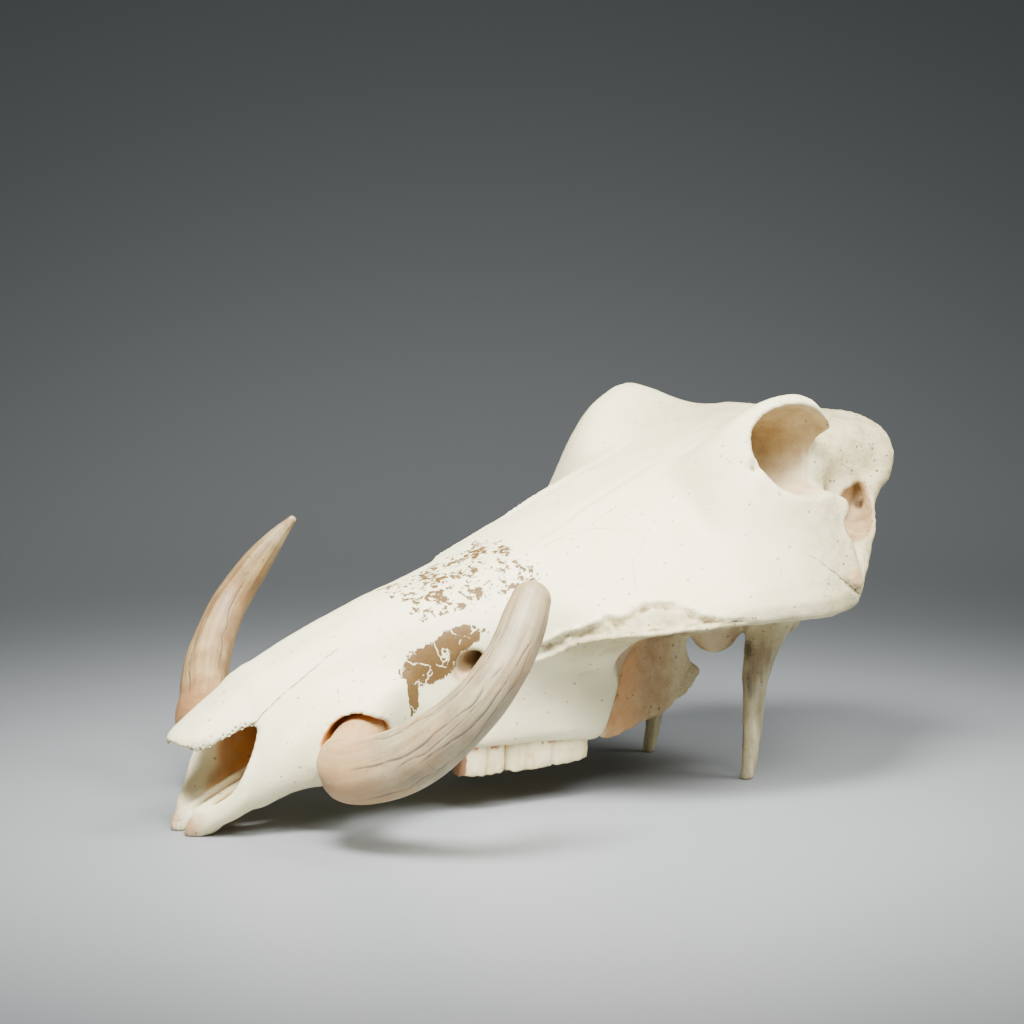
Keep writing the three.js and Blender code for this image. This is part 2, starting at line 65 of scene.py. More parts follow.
# Half outlines of the head: distance back, then [out, up] from the crown round to the palate.
HEAD = (
    (30, 0, 71.5, 12, 70.5, 20, 64.5, 25, 56, 29, 45, 32, 34, 31, 22, 26, 15, 18, 12, 9, 11.5, 0, 12),
    (40, 0, 77, 13, 76, 22, 69.5, 28, 60, 32, 50, 37, 41, 37, 30, 32, 21, 24, 17.5, 11, 16, 0, 17),
    (50, 0, 82, 14, 81, 23, 74.5, 29, 65, 34, 57, 45, 50, 49, 38, 44, 27, 32, 21.5, 15, 20.5, 0, 21.5),
    (62, 0, 87.5, 15, 86.5, 25, 79.5, 31, 70, 39, 64, 53, 59, 58, 43, 49, 28, 36, 23, 17, 23, 0, 24),
    (76, 0, 93.5, 16, 92.5, 26, 86, 32, 76.5, 40, 71, 54, 66, 58, 50, 49, 34, 38, 27, 18, 26, 0, 28),
    (92, 0, 100.5, 17, 98.5, 28, 92, 34, 83, 39, 75, 47, 68, 48, 53, 43, 38, 37, 29, 18, 29, 0, 32),
    (110, 0, 107, 18, 105, 30, 98.5, 36, 89, 39, 79, 40, 68, 41, 55, 39, 43, 37, 32, 19, 32, 0, 36),
    (130, 0, 113, 20, 111, 33, 104.5, 40, 96, 43, 86, 43, 73, 42, 60, 40, 46, 39, 33, 20, 34, 0, 39),
    (150, 0, 120, 22, 118, 35, 111.5, 44, 103, 49, 92, 48, 79, 43, 66, 41, 50, 40, 33, 21, 36, 0, 42),
    (168, 0, 128, 23, 126, 37, 119.5, 48, 110, 54, 98, 53, 77, 47, 71, 42, 55, 40, 33, 21, 37, 0, 44),
    (184, 0, 134.5, 23.5, 132.5, 39, 125.5, 52, 115.5, 65, 103, 71, 88, 60, 80, 44, 62,
     40, 32, 21, 37.5, 0, 45),
    (200, 0, 141.5, 24, 139.5, 41, 132, 56, 121.5, 74, 107, 91, 91, 73, 86, 46, 66, 40, 31, 21, 38, 0, 46),
    (213, 0, 147.5, 25, 145.5, 42, 137, 60, 126.5, 80, 111, 99, 92, 81, 88, 47, 68, 39, 30, 21, 40, 0, 47),
    (220, 0, 150.5, 25, 149, 43, 140.5, 62, 129, 84, 112, 102, 93, 83, 89, 47, 70, 38, 35, 20, 47, 0, 54),
    (234, 0, 156.5, 26, 155.5, 46, 146, 65, 134, 88, 115, 106, 94, 86, 90, 50, 80, 33, 68, 18, 68, 0, 68),
    (248, 0, 162.5, 28, 161.5, 49, 152.5, 68, 141, 91, 120, 108, 95, 88, 92, 52, 84, 30, 77, 15, 76, 0, 76),
    (256, 0, 166, 30, 165.5, 52, 158, 70, 145, 93, 124, 109, 95, 90, 92, 52, 84, 28, 79, 14, 77, 0, 77),
    (263, 0, 168.5, 32, 168.5, 57, 170, 76, 154, 95, 127, 109, 95, 90, 92, 52, 84, 28, 79, 14, 77, 0, 77),
    (271, 0, 171, 33, 172, 61, 181.5, 79.5, 164, 96, 131, 109, 95, 90, 92, 52, 85, 28, 79, 14, 77, 0, 77),
    (281, 0, 175, 35, 176.5, 65, 192, 80, 177, 97, 135, 109, 95, 90, 92, 52, 85, 28, 79, 14, 77, 0, 77),
    (292, 0, 180, 36, 182, 68, 199, 80, 185, 97, 138, 109, 95, 90, 92, 52, 86, 28, 80, 14, 77, 0, 77),
    (303, 0, 184, 37, 187, 71, 203.5, 81, 190, 97, 139, 109, 95, 90, 92, 52, 87, 28, 80, 14, 77, 0, 77),
    (315, 0, 187.5, 38, 189, 73, 204.5, 82, 190, 97, 139, 107.5, 96, 90, 92, 52, 87, 28, 80, 14, 77, 0, 77),
    (326, 0, 191.5, 36, 191.5, 73, 200.5, 82, 187, 95, 137, 104.5, 98, 88, 92, 52, 87, 30, 80, 14, 78, 0, 78),
    (336, 0, 193, 34, 193, 63, 193.5, 80, 180, 92, 135, 100.5, 101, 86, 93, 52, 87, 32, 80, 15, 79, 0, 79),
    (343, 0, 195, 30, 194.5, 43, 187.5, 50, 172, 63, 148, 96, 114, 80, 96, 54, 88, 34, 82, 16, 81, 0, 82),
    (352, 0, 194, 28, 193, 42, 186, 50, 169, 63, 153, 89, 122, 76, 105, 54, 92, 34, 88, 16, 88, 0, 90),
    (362, 0, 193, 28, 192, 46, 184.5, 53, 169, 61, 156, 81, 134, 69, 118, 52, 106, 34, 103, 16, 105, 0, 107),
    (374, 0, 191.5, 33, 190.5, 50, 184, 57, 171, 59, 159, 66, 147, 60, 138, 46, 130,
     30, 128, 15, 130, 0, 132),
    (384, 0, 190, 35, 189, 51, 182.5, 58, 171, 58, 162, 56, 156, 51, 152, 40, 152, 27, 155, 14, 159, 0, 161),
)
# The overhanging roof of the nose, a thin arch.
NOSE_ROOF = (
    (-6.5, 0, 47, 2.5, 46.5, 4, 45.2, 3.5, 43.8, 2, 44, 0, 44.5),
    (-3, 0, 49.5, 6, 48.5, 10, 46, 11, 42.5, 5, 44.5, 0, 45.5),
    (1, 0, 52, 8.5, 51, 14.5, 47, 16, 40.5, 10, 45.5, 0, 48),
    (12, 0, 59.5, 10.5, 58.5, 17, 53.5, 20, 46.5, 12, 52, 0, 55),
    (24, 0, 67.5, 11.5, 66.5, 19, 60.5, 24, 52, 13, 59, 0, 63),
    (32, 0, 72, 12, 71, 20, 64.5, 25, 55, 14, 62, 0, 66),
    (40, 0, 76, 12, 75, 20, 69, 24, 60, 14, 66, 0, 70),
)
# The front jaw bones as one trough.
FRONT_JAW = (
    (4, 0, 8, 9, 11, 14, 13.5, 17, 8.5, 16, 4, 10, 1.5, 0, 1.5),
    (9.5, 0, 9, 13, 13, 20, 17.5, 22.5, 11.5, 20, 6.5, 11, 3, 0, 3),
    (14.5, 0, 10, 18, 17, 25.5, 23, 28, 16, 24, 9.5, 13, 5, 0, 4.5),
    (18, 0, 11, 21, 21, 28.5, 30.5, 31, 21, 27, 12, 14, 6.5, 0, 6.5),
    (22, 0, 12, 22, 25, 28, 38.5, 31.5, 27, 28, 14.5, 15, 8.5, 0, 8),
    (28, 0, 13, 22, 27, 26, 50, 32.5, 32, 30, 18, 16, 11.5, 0, 11),
    (38, 0, 16, 22, 29, 27, 54, 34, 37, 33, 24, 17, 16.5, 0, 16),
)
# The nose passage, from its roof round to its floor.
NOSE_PASSAGE = (
    (20, 0, 58, 12, 54, 17, 49, 19, 40, 17, 24, 11, 14, 0, 12),
    (34, 0, 68, 12, 66, 19, 57, 22, 44, 20, 26, 12, 17, 0, 15),
    (50, 0, 78, 14, 76, 21, 66, 23, 52, 22, 36, 13, 28, 0, 26),
    (80, 0, 90, 15, 88, 23, 78, 25, 65, 24, 50, 14, 40, 0, 38),
    (120, 0, 105, 16, 103, 25, 93, 28, 79, 27, 64, 16, 53, 0, 50),
    (170, 0, 122, 16, 120, 25, 110, 28, 95, 28, 78, 18, 64, 0, 60),
    (206, 0, 118, 16, 116, 22, 108, 23, 97, 21, 84, 14, 72, 0, 68),
)
# The hollow inside each cheek: whole outlines, on one side of the head.
CHEEK_HOLLOW = (
    (222, 52, 96, 60, 99, 70, 97, 80, 90, 86, 82, 84, 60, 48, 60, 46, 80),
    (232, 48, 104, 58, 112, 70, 112, 84, 99, 94, 84, 92, 50, 38, 50, 42, 85),
    (246, 46, 114, 57, 124, 72, 123, 86, 109, 98, 86, 98, 45, 32, 45, 38, 88),
    (264, 46, 124, 57, 135, 73, 134, 86, 120, 100, 88, 100, 45, 34, 45, 40, 90),
    (284, 46, 132, 58, 142, 75, 143, 88, 126, 101, 88, 101, 45, 38, 45, 42, 92),
    (304, 46, 136, 58, 146, 76, 146, 89, 130, 100, 88, 100, 45, 50, 45, 46, 92),
    (320, 48, 138, 58, 147, 74, 146, 87, 128, 97, 92, 96, 60, 56, 60, 49, 92),
    (332, 50, 140, 56, 146, 63, 143, 67, 132, 70, 114, 66, 104, 58, 102, 51, 112),
    (342, 50, 134, 53, 138, 57, 136, 58, 130, 58, 122, 57, 117, 54, 115, 51, 120),
)
# The gap in the rim behind each eye socket.
TEMPLE_GAP = (
    (323, 66, 168, 88, 170, 100, 164, 94, 157, 70, 160),
    (331, 62, 174, 88, 177, 102, 166, 92, 153, 64, 158),
    (339, 58, 182, 88, 188, 103, 168, 92, 149, 60, 156),
    (347, 58, 184, 84, 186, 96, 168, 90, 150, 62, 156),
)
# Limbs: a point out, back and up, and the section's two half widths.
SOCKET_PATH = (
    (38, 84, 53, 10.5, 10),
    (47, 71, 46.5, 12.4, 11.9),
    (57, 61, 41.8, 13.8, 13.3),
    (66, 53.8, 38.7, 14.5, 14.1),
    (74, 50.4, 37.3, 14.8, 14.4),
)
LEFT_TUSK = (
    (82.5, 50.5, 37.7, 15.1, 14.8),
    (91.5, 54.6, 40.2, 15.6, 15.2),
    (101, 60.5, 44.2, 15.6, 15),
    (112.5, 66.6, 51, 14.8, 14.2),
    (122.3, 73, 59.8, 13.7, 13),
    (129, 79.4, 68.2, 12.7, 12),
    (134, 86, 77.2, 12, 11.4),
    (136.3, 93, 87, 11.4, 10.9),
    (136.3, 99.3, 95.6, 11, 10.6),
    (135.3, 104.4, 103.6, 10.8, 10.4),
    (133, 109.4, 111.5, 10.4, 10),
    (130.2, 114.4, 119, 9.2, 8.8),
)
RIGHT_TUSK = (
    (82.5, 50.5, 37.7, 13.8, 13.6),
    (91.5, 54.6, 40.2, 13.3, 13.1),
    (101, 60.5, 44.2, 13.1, 12.8),
    (112.5, 66.6, 51, 13.1, 12.6),
    (122.3, 73, 59.8, 12.6, 12),
    (129, 79.4, 68.2, 11.8, 11.2),
    (134, 86, 77.2, 11, 10.4),
    (137.4, 93, 87, 10.3, 9.8),
    (137.4, 99.3, 95.6, 9.7, 9.2),
    (135.3, 104.4, 103.6, 9, 8.6),
    (133, 109.4, 111.5, 8, 7.6),
    (130, 115, 119.6, 6.4, 6),
    (126.3, 120.4, 127.5, 4.2, 4),
    (122.8, 124.8, 133.4, 2.4, 2.2),
)


class Side(Enum):
    """The side of the animal that a piece is on, as the sign of how far out it lies."""

    LEFT = 1
    RIGHT = -1


class Way(Enum):
    """What a form does to the bone."""

    JOINS = "joins"
    CUTS = "cuts"


def spaced(low: float, high: float, step: float) -> np.ndarray:
    """Values from low to past high, a step apart."""
    return np.arange(low, high + step, step, dtype=np.float32)


def cubic(
    a: np.ndarray, b: np.ndarray, slope_a: np.ndarray, slope_b: np.ndarray, t: np.ndarray
) -> np.ndarray:
    """The cubic that runs from a to b and has the given slopes there.

    It is a + t slope_a + t^2 (3 (b - a) - 2 slope_a - slope_b) + t^3 (slope_a + slope_b - 2 (b - a)).

    Args:
        a: where it starts.
        b: where it ends.
        slope_a: its slope at the start.
        slope_b: its slope at the end.
        t: the share of the way, from 0 to 1.

    Returns:
        The places on it.
    """
    change = b - a
    squared = 3 * change - 2 * slope_a - slope_b
    cubed = slope_a + slope_b - 2 * change
    return a + t * slope_a + t**2 * squared + t**3 * cubed


def carried(rows: Rows, back: np.ndarray) -> np.ndarray:
    """The outline's points at many distances back.

    Between two rows each point follows a cubic whose slope at a row is that of the line between
    the row's two neighbours.

    Args:
        rows: the distance back and then the outline's points, for each row.
        back: the distances back that are wanted.

    Returns:
        An array of (distance, point, [out, up]).
    """
    table = np.array(rows, float)
    at, points = table[:, 0], table[:, 1:].reshape(len(table), -1, 2)
    back = np.clip(back, at[0], at[-1])
    i = np.clip(np.searchsorted(at, back, side="right") - 1, 0, len(at) - 2)
    last, after = np.maximum(i - 1, 0), np.minimum(i + 2, len(at) - 1)
    span = at[i + 1] - at[i]
    t = ((back - at[i]) / span)[:, None, None]
    a, b = points[i], points[i + 1]
    slope_a = (b - points[last]) * (span / (at[i + 1] - at[last]))[:, None, None]
    slope_b = (points[after] - a) * (span / (at[after] - at[i]))[:, None, None]
    return cubic(a, b, slope_a, slope_b, t)


def knot_gap(p: np.ndarray, q: np.ndarray) -> np.ndarray:
    """How far apart the knots of two points lie: the square root of their distance."""
    return np.maximum(np.linalg.norm(q - p, axis=-1, keepdims=True) ** 0.5, 1e-4)


def stretches(points: np.ndarray, closed: bool) -> tuple[np.ndarray, ...]:
    """The stretches of a centripetal curve between its points.

    The knots lie as far apart as the square root of the distance between the points.

    Args:
        points: an array of (..., point, coordinate).
        closed: whether the curve runs on from the last point to the first.

    Returns:
        The start, the end and the two slopes of each stretch.
    """
    if closed:
        before, a, b, after = (np.roll(points, s, axis=-2) for s in (1, 0, -1, -2))
    else:
        first = 2 * points[..., :1, :] - points[..., 1:2, :]
        last = 2 * points[..., -1:, :] - points[..., -2:-1, :]
        run = np.concatenate([first, points, last], axis=-2)
        before, a, b, after = run[..., :-3, :], run[..., 1:-2, :], run[..., 2:-1, :], run[..., 3:, :]
    g0, g1, g2 = knot_gap(before, a), knot_gap(a, b), knot_gap(b, after)
    slope_a = ((a - before) / g0 - (b - before) / (g0 + g1) + (b - a) / g1) * g1
    slope_b = ((b - a) / g1 - (after - a) / (g1 + g2) + (after - b) / g2) * g1
    return a, b, slope_a, slope_b


def smooth_curve(points: np.ndarray, shares: np.ndarray, closed: bool) -> np.ndarray:
    """Points along the centripetal curve, at the same shares of each of its stretches.

    Args:
        points: an array of (..., point, coordinate).
        shares: places along each stretch, from 0 to 1.
        closed: whether the curve is a ring.

    Returns:
        An array of (..., stretch times share, coordinate).
    """
    a, b, slope_a, slope_b = (v[..., :, None, :] for v in stretches(points, closed))
    made = cubic(a, b, slope_a, slope_b, shares[:, None])
    return made.reshape(*made.shape[:-3], -1, made.shape[-1])


@dataclass
class Path:
    """A limb's centre line with its two half widths, at evenly counted places along it."""

    rows: Rows
    steps: int
    centre: np.ndarray = field(init=False)
    widths: np.ndarray = field(init=False)
    along: np.ndarray = field(init=False)
    across: np.ndarray = field(init=False)
    over: np.ndarray = field(init=False)

    def __post_init__(self) -> None:
        """Works out the centre line and, at each place, the three directions of its section."""
        rows = np.array(self.rows, float)
        per = max(2, math.ceil(self.steps / (len(rows) - 1)))
        shares = np.arange(per) / per
        run = smooth_curve(rows[:, :3], shares, False)
        self.centre = np.vstack([run, rows[-1:, :3]])
        place = np.append((np.arange(len(rows) - 1)[:, None] + shares).ravel(), len(rows) - 1)
        self.widths = np.stack([np.interp(place, np.arange(len(rows)), rows[:, c]) for c in (3, 4)], 1)
        along = np.gradient(self.centre, axis=0)
        self.along = along / np.linalg.norm(along, axis=1, keepdims=True)
        side = np.where(np.abs(self.along[:, 1:2]) > 0.9, [[1.0, 0, 0]], [[0, 1.0, 0]])
        side = side - self.along * (side * self.along).sum(1, keepdims=True)
        self.across = side / np.linalg.norm(side, axis=1, keepdims=True)
        self.over = np.cross(self.along, self.across)


@dataclass
class Grid:
    """A block of evenly spaced points."""

    x: np.ndarray
    y: np.ndarray
    z: np.ndarray

    def part(self, low: np.ndarray, high: np.ndarray) -> tuple[slice, slice, slice]:
        """The index ranges of the points between two corners.

        Args:
            low: the lowest corner.
            high: the highest corner.

        Returns:
            One slice for each axis.
        """
        found = []
        for axis, a, b in zip((self.x, self.y, self.z), low, high):
            found.append(slice(int(np.searchsorted(axis, a)), int(np.searchsorted(axis, b, side="right"))))
        return found[0], found[1], found[2]

    def points(self, where: tuple[slice, slice, slice]) -> np.ndarray:
        """The points of an index range, as an array of (x, y, z, coordinate)."""
        axes = self.x[where[0]], self.y[where[1]], self.z[where[2]]
        return np.stack(np.meshgrid(*axes, indexing="ij"), -1)

    def empty(self) -> np.ndarray:
        """A field with no form in it yet."""
        return np.full((len(self.x), len(self.y), len(self.z)), FAR, np.float32)


def soft_min(a: np.ndarray, b: np.ndarray, soft: float) -> np.ndarray:
    """The lower of two values, rounded over a width: b + (a - b) h - soft h (1 - h), h from 0 to 1."""
    h = np.clip(0.5 + 0.5 * (b - a) / soft, 0, 1)
    return b + (a - b) * h - soft * h * (1 - h)


def soft_max(a: np.ndarray, b: np.ndarray, soft: float) -> np.ndarray:
    """The higher of two values, rounded over a width."""
    return -soft_min(-a, -b, soft)


def ring_distance(px: np.ndarray, pz: np.ndarray, ring: np.ndarray) -> np.ndarray:
    """Signed distance of points from a closed outline, negative inside.

    The distance is the least over the outline's edges, and a point is inside where a line from it
    crosses an odd number of them.

    Args:
        px: how far out each point is.
        pz: how far up each point is.
        ring: the outline's points, as (point, [out, up]).

    Returns:
        The distances, shaped as px.
    """
    ring = ring.astype(np.float32)
    a, b = ring, np.roll(ring, -1, axis=0)
    near = np.maximum(a[:, 0], b[:, 0]) > px.min() - 2 * CELL
    a, b = a[near], b[near]
    edge = b - a
    wx, wz = px.ravel()[:, None] - a[:, 0], pz.ravel()[:, None] - a[:, 1]
    t = np.clip((wx * edge[:, 0] + wz * edge[:, 1]) / np.maximum((edge**2).sum(1), 1e-9), 0, 1)
    apart = (wx - t * edge[:, 0]) ** 2 + (wz - t * edge[:, 1]) ** 2
    level = pz.ravel()[:, None]
    spans = (a[:, 1] > level) != (b[:, 1] > level)
    rise = np.where(np.abs(edge[:, 1]) < 1e-9, 1e-9, edge[:, 1])
    inside = (spans & (wx < edge[:, 0] * wz / rise)).sum(1) % 2 == 1
    return (np.where(inside, -1, 1) * np.sqrt(apart.min(1))).reshape(px.shape)


@dataclass(frozen=True)
class Loft:
    """An outline carried back along the skull."""

    rows: Rows
    halves: bool  # the outline is one half, mirrored over the middle
    end_soft: float = 2.0  # how far the ends are rounded

    def rings(self, back: np.ndarray) -> np.ndarray:
        """The whole closed outline at each distance back.

        Args:
            back: the distances back.

        Returns:
            An array of (distance, point, [out, up]).
        """
        points = carried(self.rows, back)
        if self.halves:
            first = 1 if self.rows[0][1] == 0 else 0
            last = points.shape[1] - (1 if self.rows[0][-2] == 0 else 0)
            points = np.concatenate([points, points[:, first:last][:, ::-1] * [-1, 1]], axis=1)
        return smooth_curve(points, np.arange(4) / 4, True)

    def apply(self, grid: Grid, join: Join) -> None:
        """Joins the form to the field, or cuts it away.

        Args:
            grid: the points.
            join: the field and how the form meets it.
        """
        table = np.array(self.rows, float)
        outs, ups = table[:, 1::2], table[:, 2::2]
        low = (outs.min() - join.reach, table[0, 0] - join.reach, ups.min() - join.reach)
        high = (outs.max() + join.reach, table[-1, 0] + join.reach, ups.max() + join.reach)
        where = grid.part(np.array(low), np.array(high))
        back = grid.y[where[1]]
        px, pz = np.meshgrid(grid.x[where[0]], grid.z[where[2]], indexing="ij")
        made = np.empty((px.shape[0], len(back), px.shape[1]), np.float32)
        for i, ring in enumerate(self.rings(back)):
            made[:, i] = ring_distance(px, pz, ring)
        beyond = np.maximum(table[0, 0] - back, back - table[-1, 0])[None, :, None]
        join.mix(where, soft_max(made, beyond.astype(np.float32), self.end_soft))


@dataclass(frozen=True)
class Limb:
    """A tube with an oval section along a curved path, with rounded ends."""

    rows: Rows
    steps: int = 60
    grow: float = 0.0  # how much wider the tube is made

    def apply(self, grid: Grid, join: Join) -> None:
        """Joins the tube to the field, or cuts it away.

        The tube is the union of many ovals, set close together along the path.

        Args:
            grid: the points.
            join: the field and how the form meets it.
        """
        path = Path(self.rows, self.steps)
        widths = path.widths + self.grow
        reach = widths.max() + join.reach
        where = grid.part(path.centre.min(0) - reach, path.centre.max(0) + reach)
        low = [w.start for w in where]
        made = np.full([w.stop - w.start for w in where], join.reach * 4, np.float32)
        for centre, (wide, high), across, over, along in zip(
            path.centre, widths, path.across, path.over, path.along
        ):
            room = max(wide, high) + join.reach
            near = grid.part(centre - room, centre + room)
            near = tuple(slice(max(n.start, w.start), min(n.stop, w.stop)) for n, w in zip(near, where))
            if min(w.stop - w.start for w in near) <= 0:
                continue
            offset = grid.points(near) - centre.astype(np.float32)
            least = min(wide, high)
            share = np.sqrt(
                (offset @ across / wide) ** 2 + (offset @ over / high) ** 2 + (offset @ along / least) ** 2
            )
            spot = tuple(slice(w.start - s, w.stop - s) for w, s in zip(near, low))
            made[spot] = np.minimum(made[spot], (share - 1) * least)
        join.mix(where, made)


@dataclass(frozen=True)
class Ball:
    """An oval lump."""

    at: tuple[float, float, float]
    size: tuple[float, float, float]

    def apply(self, grid: Grid, join: Join) -> None:
        """Joins the lump to the field, or cuts it away.

        Args:
            grid: the points.
            join: the field and how the form meets it.
        """
        at, size = np.array(self.at), np.array(self.size)
        where = grid.part(at - size - join.reach, at + size + join.reach)
        offset = grid.points(where) - at.astype(np.float32)
        scaled = np.linalg.norm(offset / size, axis=-1)
        steep = np.maximum(np.linalg.norm(offset / size**2, axis=-1), 1e-6)
        join.mix(where, scaled * (scaled - 1) / steep)


@dataclass
class Join:
    """How a form meets the field: its way and the width over which the two flow together."""

    values: np.ndarray
    soft: float
    way: Way = Way.JOINS

    @property
    def reach(self) -> float:
        """How far from a form the field can still change."""
        return self.soft * 1.2 + 3 * CELL

    def mix(self, where: tuple[slice, slice, slice], form: np.ndarray) -> None:
        """Joins the form's distances to the field's, or cuts them out.

        Args:
            where: the index range of the field that changes.
            form: the form's distances there.
        """
        here = self.values[where]
        if self.way is Way.CUTS:
            self.values[where] = soft_max(here, -form, self.soft)
        else:
            self.values[where] = soft_min(here, form, self.soft)


def surface_of(values: np.ndarray, grid: Grid) -> tuple[np.ndarray, np.ndarray]:
    """The zero level of a field, as points and four-sided faces.

    Each cell that the surface passes through gets one point, the mean of the places where its
    edges cross zero. Each crossed edge gets a face between the points of the four cells round it.

    Args:
        values: the field at the grid's points, negative inside.
        grid: the points.

    Returns:
        The points and the faces, whose corners run so that the faces look outwards.
    """
    inside = values < 0
    count = np.zeros([n - 1 for n in values.shape], np.uint8)
    corners = [(i, j, k) for i in (0, 1) for j in (0, 1) for k in (0, 1)]
    for i, j, k in corners:
        count += inside[i : i + count.shape[0], j : j + count.shape[1], k : k + count.shape[2]]
    cells = np.argwhere((count > 0) & (count < 8))
    number = np.full(count.shape, -1, np.int32)
    number[tuple(cells.T)] = np.arange(len(cells))
    at_corner = [values[tuple((cells + c).T)] for c in corners]
    total, crossed = np.zeros((len(cells), 3)), np.zeros(len(cells))
    for a in range(8):
        for b in range(a + 1, 8):
            step = np.subtract(corners[b], corners[a])
            if np.abs(step).sum() != 1:
                continue
            low, high = at_corner[a], at_corner[b]
            hit = (low < 0) != (high < 0)
            share = low[hit] / (low[hit] - high[hit])
            total[hit] += np.array(corners[a]) + share[:, None] * step
            crossed[hit] += 1
    place = cells + total / crossed[:, None]
    axes = [grid.x, grid.y, grid.z]
    points = np.stack([axes[c][0] + place[:, c] * (axes[c][1] - axes[c][0]) for c in range(3)], 1)
    faces = []
    for axis in range(3):
        u, v = (axis + 1) % 3, (axis + 2) % 3
        first = np.take(inside, range(inside.shape[axis] - 1), axis)
        second = np.take(inside, range(1, inside.shape[axis]), axis)
        edges = np.argwhere(first != second)
        edges = edges[(edges[:, u] > 0) & (edges[:, v] > 0)]
        edges = edges[(edges[:, u] < inside.shape[u] - 1) & (edges[:, v] < inside.shape[v] - 1)]
        quad = []
        for du, dv in ((1, 1), (0, 1), (0, 0), (1, 0)):
            cell = edges.copy()
            cell[:, u] -= du
            cell[:, v] -= dv
            quad.append(number[tuple(cell.T)])
        quad = np.stack(quad, 1)
        leaves = first[tuple(edges.T)]
        quad[~leaves] = quad[~leaves][:, ::-1]
        faces.append(quad)
    faces = np.concatenate(faces)
    return points, faces[(faces >= 0).all(1)]


def roughness(points: np.ndarray, size: float, seed: int) -> np.ndarray:
    """Smooth random heights from -1 to 1, a lattice of random numbers blended between.

    Args:
        points: where, as (point, coordinate).
        size: how far apart the lattice's numbers are.
        seed: which lattice.

    Returns:
        One height for each point.
    """
    count = 32
    lattice = np.random.default_rng(seed).uniform(-1, 1, (count, count, count))
    place = points / size + 1000
    low = np.floor(place).astype(int)
    t = place - low
    t = t * t * (3 - 2 * t)
    made = np.zeros(len(points))
    for i in (0, 1):
        for j in (0, 1):
            for k in (0, 1):
                weight = np.where([i, j, k], t, 1 - t).prod(1)
                at = (low + [i, j, k]) % count
                made += weight * lattice[at[:, 0], at[:, 1], at[:, 2]]
    return made


def fade(value: np.ndarray, low: float, high: float) -> np.ndarray:
    """A smooth step from 0 at low to 1 at high."""
    t = np.clip((value - low) / (high - low), 0, 1)
    return t * t * (3 - 2 * t)


def within(value: np.ndarray, start: float, on: float, off: float, end: float) -> np.ndarray:
    """1 between two values, with a smooth step up before them and one down after them."""
    return fade(value, start, on) * (1 - fade(value, off, end))


def bell(value: np.ndarray) -> np.ndarray:
    """A bell: e to the power of minus the value squared."""
    return np.exp(-(value**2))


def round_spot(points: np.ndarray, at: Spot, size: Spot) -> np.ndarray:
    """A bell round a place, the same on both sides of the skull.

    Args:
        points: where, as (point, coordinate).
        at: the middle of the spot on the left side.
        size: how far it spreads out, back and up.

    Returns:
        Values from 1 at the middle down to 0.
    """
    offset = (np.column_stack([np.abs(points[:, 0]), points[:, 1:]]) - at) / size
    return np.exp(-(offset**2).sum(1))


def make_mesh(name: str, points: np.ndarray, *parts: np.ndarray) -> bpy.types.Object:
    """A smooth-shaded mesh object at the origin.

    Args:
        name: the piece's name.
        points: the points in millimetres, counted back from the front tips.
        parts: arrays of faces; within an array all faces have as many corners.

    Returns:
        The new object.
    """
    mesh = bpy.data.meshes.new(name)
    mesh.vertices.add(len(points))
    sides = np.concatenate([np.full(len(p), p.shape[1]) for p in parts])
    corners = np.concatenate([p.ravel() for p in parts])
    mesh.loops.add(len(corners))
    mesh.loops.foreach_set("vertex_index", corners.astype(np.int32))
    mesh.polygons.add(len(sides))
    mesh.polygons.foreach_set("loop_start", (np.cumsum(sides) - sides).astype(np.int32))
    mesh.polygons.foreach_set("use_smooth", np.ones(len(sides), bool))
    piece = bpy.data.objects.new(name, mesh)
    place_points(piece, points)
    mesh.update(calc_edges=True)
    mesh.validate()
    bpy.context.scene.collection.objects.link(piece)
    return piece


def points_of(piece: bpy.types.Object) -> np.ndarray:
    """The mesh's points.

    Args:
        piece: the object.

    Returns:
        The points in millimetres, counted back from the front tips, as (point, coordinate).
    """
    flat = np.empty(len(piece.data.vertices) * 3, np.float32)
    piece.data.vertices.foreach_get("co", flat)
    return flat.reshape(-1, 3) / MM + [0, SNOUT_TO_ORIGIN, 0]


def normals_of(piece: bpy.types.Object) -> np.ndarray:
    """The mesh's normals at its points.

    Args:
        piece: the object.

    Returns:
        The directions, as (point, coordinate).
    """
    flat = np.empty(len(piece.data.vertices) * 3, np.float32)
    piece.data.vertex_normals.foreach_get("vector", flat)
    return flat.reshape(-1, 3)


def place_points(piece: bpy.types.Object, points: np.ndarray) -> None:
    """Moves the mesh's points to new places.

    Args:
        piece: the object.
        points: the places in millimetres, counted back from the front tips.
    """
    placed = (points - [0, SNOUT_TO_ORIGIN, 0]) * MM
    piece.data.vertices.foreach_set("co", placed.astype(np.float32).ravel())
    piece.data.update()


def keep_values(piece: bpy.types.Object, name: str, values: np.ndarray) -> None:
    """Stores one number for each point of the mesh, for its material to read."""
    kept = piece.data.attributes.new(name, "FLOAT", "POINT")
    kept.data.foreach_set("value", values.astype(np.float32))


